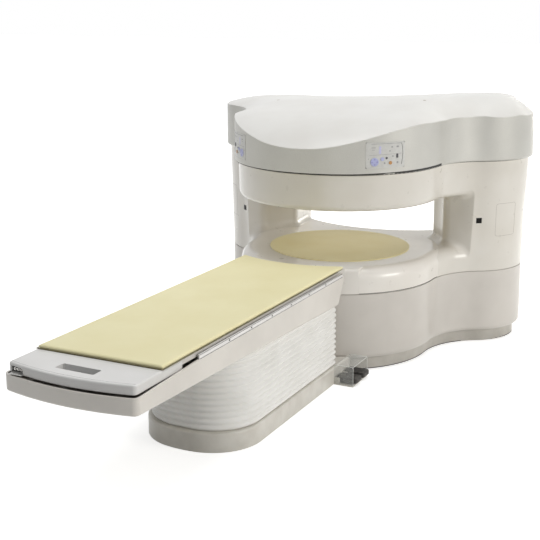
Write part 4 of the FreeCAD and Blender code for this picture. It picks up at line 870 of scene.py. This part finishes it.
class SCANNER_OT_mattress(bpy.types.Operator):
    """Pads the mattress with a cloth simulation and sews its edge"""
    bl_idname = "scanner.mattress"
    bl_label = "Mattress"

    def execute(self, context):
        low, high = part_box("mattress")
        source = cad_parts["mattress"].data.copy()
        pad = put("mattress_pad", source)
        shrink(source, low, high)
        swell(context, pad, context.scene.scanner_sizes)
        mesh = mesh_of(pad)
        settle(mesh, low, high)
        cover = make_piece("mattress_cover", shade(mesh), "mattress", "tabletop")
        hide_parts("mattress")
        seam(low, high)
        return {"FINISHED"}


# -------- bellows
DROOP = 0.0009             # the usual droop of a fold
SAG_SPOTS = 24             # places round the bellows where a fold's droop is drawn at random


def ridge_line(low, high):
    """The ridge line in plan, as points with their inward directions."""
    half_w, front, rear = high.x, low.y, high.y
    corner, small = BELLOWS_CORNER_R, BELLOWS_REAR_R
    points = []

    def arc(cx, cy, radius, start, steps):
        for i in range(steps + 1):
            a = radians(start + 90 * i / steps)
            out = Vector((cos(a), sin(a), 0))
            points.append((Vector((cx, cy, 0)) + out * radius, -out))

    def run(x0, y0, x1, y1, inward, steps):
        points.extend((Vector((*spot, 0)), Vector((*inward, 0)))
                      for spot in between((x0, y0), (x1, y1), steps)[1:])

    arc(half_w - corner, front + corner, corner, -90, 20)
    run(half_w, front + corner, half_w, rear - small, (-1, 0), 30)
    arc(half_w - small, rear - small, small, 0, 6)
    run(half_w - small, rear, small - half_w, rear, (0, -1), 12)
    arc(small - half_w, rear - small, small, 90, 6)
    run(-half_w, rear - small, -half_w, front + corner, (1, 0), 30)
    arc(corner - half_w, front + corner, corner, 180, 20)
    run(corner - half_w, front, half_w - corner, front, (0, 1), 4)
    return points


def trim(bm):
    """Cuts the folds off along the frame's sloping underside and closes them."""
    foot, head = (Vector((0, y, z)) for y, z in FRAME_UNDERSIDE)
    normal = Vector((1, 0, 0)).cross((head - foot).normalized())
    bmesh.ops.bisect_plane(bm, geom=bm.verts[:] + bm.edges[:] + bm.faces[:], plane_co=foot - UP * 0.0004,
                           plane_no=normal, clear_outer=True)
    bmesh.ops.bridge_loops(bm, edges=[e for e in bm.edges if e.is_boundary])


def folds(bm, plan, lengths, floor, top, steps):
    """Rings of vertices up the folds, each a ridge that sinks to a valley and droops a little at random."""
    pitch = (top - floor) / PLEATS
    rng = np.random.default_rng(7)
    sag = [rng.normal(0, DROOP, SAG_SPOTS) for _ in range(PLEATS + 1)]
    rings = []
    for number in range(PLEATS * steps + 1):
        share = number / steps - int(number / steps)
        fold = (1 - cos(2 * pi * share)) / 2
        depth = FOLD_DEPTH * (1 - fold ** 0.42)
        z = floor + number / steps * pitch + 0.0002
        weight = sin(pi * share)
        droops = sag[min(PLEATS, number // steps)]
        ring = []
        for k, (point, inward) in enumerate(plan):
            turn = SAG_SPOTS * lengths[k] / lengths[-1]
            a, b = int(turn) % SAG_SPOTS, (int(turn) + 1) % SAG_SPOTS
            droop = (droops[a] * (1 - turn % 1) + droops[b] * (turn % 1)) * weight
            place = point + inward * (depth + abs(droop))
            ring.append(bm.verts.new((place.x, place.y, min(top, z + droop))))
        rings.append(ring)
    return rings


class SCANNER_OT_bellows(bpy.types.Operator):
    """Folds the cloth bellows under the table"""
    bl_idname = "scanner.bellows"
    bl_label = "Bellows"

    def execute(self, context):
        low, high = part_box("bellows")
        steps = context.scene.scanner_sizes.pleat_steps
        bm = bmesh.new()
        uv = bm.loops.layers.uv.new("cloth")
        plan = ridge_line(low, high)
        top = high.z - 0.0004
        lengths = [0.0]
        for a, b in zip(plan, plan[1:] + plan[:1]):
            lengths.append(lengths[-1] + (b[0] - a[0]).length)
        rings = folds(bm, plan, lengths, low.z, top, steps)
        fold_run = hypot(FOLD_DEPTH, (top - low.z) / PLEATS / 2) * 2 / steps
        for r, (a, b) in enumerate(zip(rings, rings[1:])):
            for k, face in enumerate(quads(bm, a, b)):
                spots = ((lengths[k], r), (lengths[k + 1], r), (lengths[k + 1], r + 1), (lengths[k], r + 1))
                for corner, (u, v) in zip(face.loops, spots):
                    corner[uv].uv = (u, v * fold_run)
        lining = [[bm.verts.new(point + inward * LINING + UP * z) for point, inward in plan]
                  for z in (low.z + 0.0002, top)]
        for a, b in ((lining[1], lining[0]), (lining[0], rings[0]), (rings[-1], lining[1])):
            quads(bm, a, b)
        trim(bm)
        bmesh.ops.recalc_face_normals(bm, faces=bm.faces)
        mesh = mesh_from(bm, "bellows_cloth")
        cloth = make_piece("bellows_cloth", shade(mesh), "bellows", "scanner")
        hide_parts("bellows")
        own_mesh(cloth)
        return {"FINISHED"}


# -------- pedals
HOOD_BEND = 0.012


def hood_edges():
    """The pale edges of the clear hood, where its sheets meet and end: the sawn ends are pale with their own frost,
    and the line along the bend is painted highlight.
    """
    low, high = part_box("pedal_hood")
    bend = HOOD_BEND
    corner = [(high.x - bend + bend * sin(a), high.z - bend + bend * cos(a)) for a in np.linspace(0, pi / 2, 7)]
    profile = [(low.x + bend, high.z)] + corner + [(high.x, low.z)]
    rods = [rod(Vector((x0, y, z0)), Vector((x1, y, z1)), 0.0015) for y in (low.y + 0.0012, high.y - 0.0012)
            for (x0, z0), (x1, z1) in zip(profile, profile[1:])]
    rods += [rod(Vector((x, low.y, z)), Vector((x, high.y, z)), 0.0013)
             for x, z in ((high.x - 0.0012, low.z + 0.0016), (high.x - 0.003, high.z - 0.003))]
    piece("hood_edges", rods, "acrylic_edge", "scanner")


def treads(name):
    """Ribs across a pedal, set in a row by geometry nodes."""
    low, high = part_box(name)
    tree, given = new_group(name + "_ribs", (
        ("Count", "Int", 6), ("Spacing", "Float", 0.016), ("Width", "Float", high.y - low.y - 0.020),
        ("Height", "Float", 0.0026)))
    size = add(tree, "CombineXYZ", {"X": 0.008, "Y": given["Width"], "Z": given["Height"]})
    rib = add(tree, "GeometryNodeMeshCube", {"Size": size})
    pitch = add(tree, "CombineXYZ", {"X": given["Spacing"]})
    start = (low.x + 0.049, (low.y + high.y) / 2, high.z + 0.0003)
    row = add(tree, "GeometryNodeMeshLine", {
        "Count": given["Count"], "Start Location": start, "Offset": pitch}, mode="OFFSET")
    stand = add(tree, "GeometryNodeInstanceOnPoints", {"Points": row, "Instance": rib})
    ribs = grow(name, bpy.data.meshes.new(name + "_holder"), tree, stand, "rubber")
    make_piece(name + "_treads", ribs, "rubber", name)


class SCANNER_OT_pedals(bpy.types.Operator):
    """Finishes the pedals and their clear hood, and adds the rubber treads"""
    bl_idname = "scanner.pedals"
    bl_label = "Pedals"

    def execute(self, context):
        dress("rubber", "foot_pedal head_pedal")
        dress("plinth", "pedal_housing")
        dress("acrylic", "pedal_hood")
        for name in ("foot_pedal", "head_pedal"):
            treads(name)
        hood_edges()
        return {"FINISHED"}


# -------- hidden works
class SCANNER_OT_works(bpy.types.Operator):
    """Finishes the magnet, its feet, and the table's drive and lift"""
    bl_idname = "scanner.works"
    bl_label = "Hidden works"

    def execute(self, context):
        dress("iron", "upper_yoke lower_yoke left_post right_post upper_pole_piece lower_pole_piece")
        dress("magnet", "upper_magnet lower_magnet")
        dress("resin", "upper_gradient_coil lower_gradient_coil upper_rf_coil lower_rf_coil")
        dress("steel", "yoke_bolts levelling_feet")
        dress("drive", "drive_motor belt_idler lift_motor table_base")
        dress("drive", "lift_head lift_sleeves lift_middle_tubes lift_rams")
        dress("belt", "drive_belt")
        return {"FINISHED"}


# -------- stage
# name, place, aim, size in metres, watts, spread in degrees, colour: light comes from the right and from above
LAMPS = (
    ("key_light", (12.0, -1.5, 4.2), (0.0, -0.9, 0.9), 4.5, 570, 180, "#FFFCF7"),
    ("top_light", (0.3, -0.6, 12.0), (0.0, -0.9, 0.5), 7.0, 800, 180, "#FFFFFF"),
    ("back_light", (1.8, 7.0, 2.4), (0.0, 0.0, 0.9), 2.5, 190, 180, "#FFFBF2"),
    ("left_light", (-3.0, -7.0, 3.2), (-0.7, 0.0, 1.25), 2.0, 3, 34, "#FFFDF8"),
    ("front_light", (3.5, -8.5, 3.2), (0.2, -0.5, 0.9), 3.0, 6, 180, "#F8FAFF"))
CAMERA_PLACE = (3.327, -7.733, 2.745)
CAMERA_TURN = (90 - 10.91, 0, 27.13)
FOCAL_LENGTH = 1060.3 / 540    # in widths of the picture
SENSOR_MM = 36.0


def seen_directly(tree):
    """1 for what the camera sees, also by way of gloss or through clear pieces."""
    path = add(tree, "LightPath").outputs
    seen = add(tree, "Math", {0: path["Is Camera Ray"], 1: path["Is Glossy Ray"]}, operation="MAXIMUM")
    return add(tree, "Math", {0: seen, 1: path["Is Transmission Ray"]}, operation="MAXIMUM")


def paper():
    """White paper: the camera sees it lit up to white away from the object, and its shadow near it."""
    bm = bmesh.new()
    bmesh.ops.create_grid(bm, x_segments=1, y_segments=1, size=60.0)
    mesh = mesh_from(bm, "studio_floor")
    mesh.transform(Matrix.Translation((0, 0, -0.0006)))
    sheet = put("studio_floor", mesh)
    f = Finish("studio_paper_white")
    dull = add(f.tree, "BsdfPrincipled", {
        "Base Color": linear("#D6D6D4"), "Roughness": 0.8, "Specular IOR Level": 0.1,
        "Normal": f.relief(f.texture("Noise", 8.0), 0.1, 0.2)})
    away = add(f.tree, "VectorMath", {0: f.place}, operation="LENGTH")
    glow = add(f.tree, "MapRange", {
        "Value": away.outputs["Value"], "From Min": 2.0, "From Max": 5.0, "To Min": 0.62, "To Max": 1.0})
    white = add(f.tree, "Emission", {"Color": linear("#FFFFFF"), "Strength": glow})
    lit = add(f.tree, "AddShader", {0: dull, 1: white})
    mixed = add(f.tree, "MixShader", {"Fac": seen_directly(f.tree), 1: dull, 2: lit})
    add(f.tree, "OutputMaterial", {"Surface": mixed})
    mesh.materials.append(f.material)


def lights(context):
    """A soft fill that the camera sees as white, and the lamps."""
    world = bpy.data.worlds.new("studio")
    context.scene.world = world
    world.use_nodes = True
    tree = world.node_tree
    tree.nodes.clear()
    fill = add(tree, "Background", {"Color": linear("#F4F5F7"), "Strength": 0.25})
    paper = add(tree, "Background", {"Color": linear("#FFFFFF"), "Strength": 1.0})
    mixed = add(tree, "MixShader", {"Fac": seen_directly(tree), 1: fill, 2: paper})
    add(tree, "OutputWorld", {"Surface": mixed})
    for name, place, aim, size, watts, spread, colour in LAMPS:
        data = bpy.data.lights.new(name, "AREA")
        data.shape = "SQUARE"
        data.size = size
        data.energy = watts
        data.spread = radians(spread)
        data.color = linear(colour)[:3]
        lamp = put(name, data)
        lamp.location = place
        lamp.rotation_mode = "QUATERNION"
        lamp.rotation_quaternion = (Vector(aim) - Vector(place)).to_track_quat("-Z", "Y")


def camera(context):
    """The photograph's view: from above eye height, off the foot of the table and to its right."""
    data = bpy.data.cameras.new("camera")
    data.sensor_width = SENSOR_MM
    data.lens = FOCAL_LENGTH * SENSOR_MM
    data.shift_y = -0.12
    view = put("camera", data)
    view.location = CAMERA_PLACE
    view.rotation_euler = [radians(angle) for angle in CAMERA_TURN]
    context.scene.camera = view
    context.scene.view_settings.view_transform = "Standard"


class SCANNER_OT_stage(bpy.types.Operator):
    """Sets the plain floor, the soft lights and the camera"""
    bl_idname = "scanner.stage"
    bl_label = "Stage"

    def execute(self, context):
        paper()
        lights(context)
        camera(context)
        return {"FINISHED"}


# -------- panel and registration
STEPS = ("covers", "panels", "table", "mattress", "bellows", "pedals", "works", "stage")


class SCANNER_PT_panel(bpy.types.Panel):
    """Lists the scanner's tones, sizes and pieces"""
    bl_label = "Open MRI Scanner"
    bl_idname = "SCANNER_PT_panel"
    bl_space_type = "VIEW_3D"
    bl_region_type = "UI"
    bl_category = "Scanner"

    def draw(self, context):
        for group in (context.scene.scanner_tones, context.scene.scanner_sizes):
            box = self.layout.box()
            for name in type(group).__annotations__:
                box.prop(group, name)
        for step in STEPS:
            self.layout.operator("scanner." + step)


CLASSES = (ScannerTones, ScannerSizes, SCANNER_OT_covers, SCANNER_OT_panels, SCANNER_OT_table,
           SCANNER_OT_mattress, SCANNER_OT_bellows, SCANNER_OT_pedals, SCANNER_OT_works, SCANNER_OT_stage,
           SCANNER_PT_panel)


def register():
    for cls in CLASSES:
        bpy.utils.register_class(cls)
    bpy.types.Scene.scanner_tones = bpy.props.PointerProperty(type=ScannerTones)
    bpy.types.Scene.scanner_sizes = bpy.props.PointerProperty(type=ScannerSizes)


def unregister():
    del bpy.types.Scene.scanner_sizes
    del bpy.types.Scene.scanner_tones
    for cls in reversed(CLASSES):
        bpy.utils.unregister_class(cls)


def main():
    register()
    for step in STEPS:
        getattr(bpy.ops.scanner, step)()


if __name__ == "__main__":
    main()
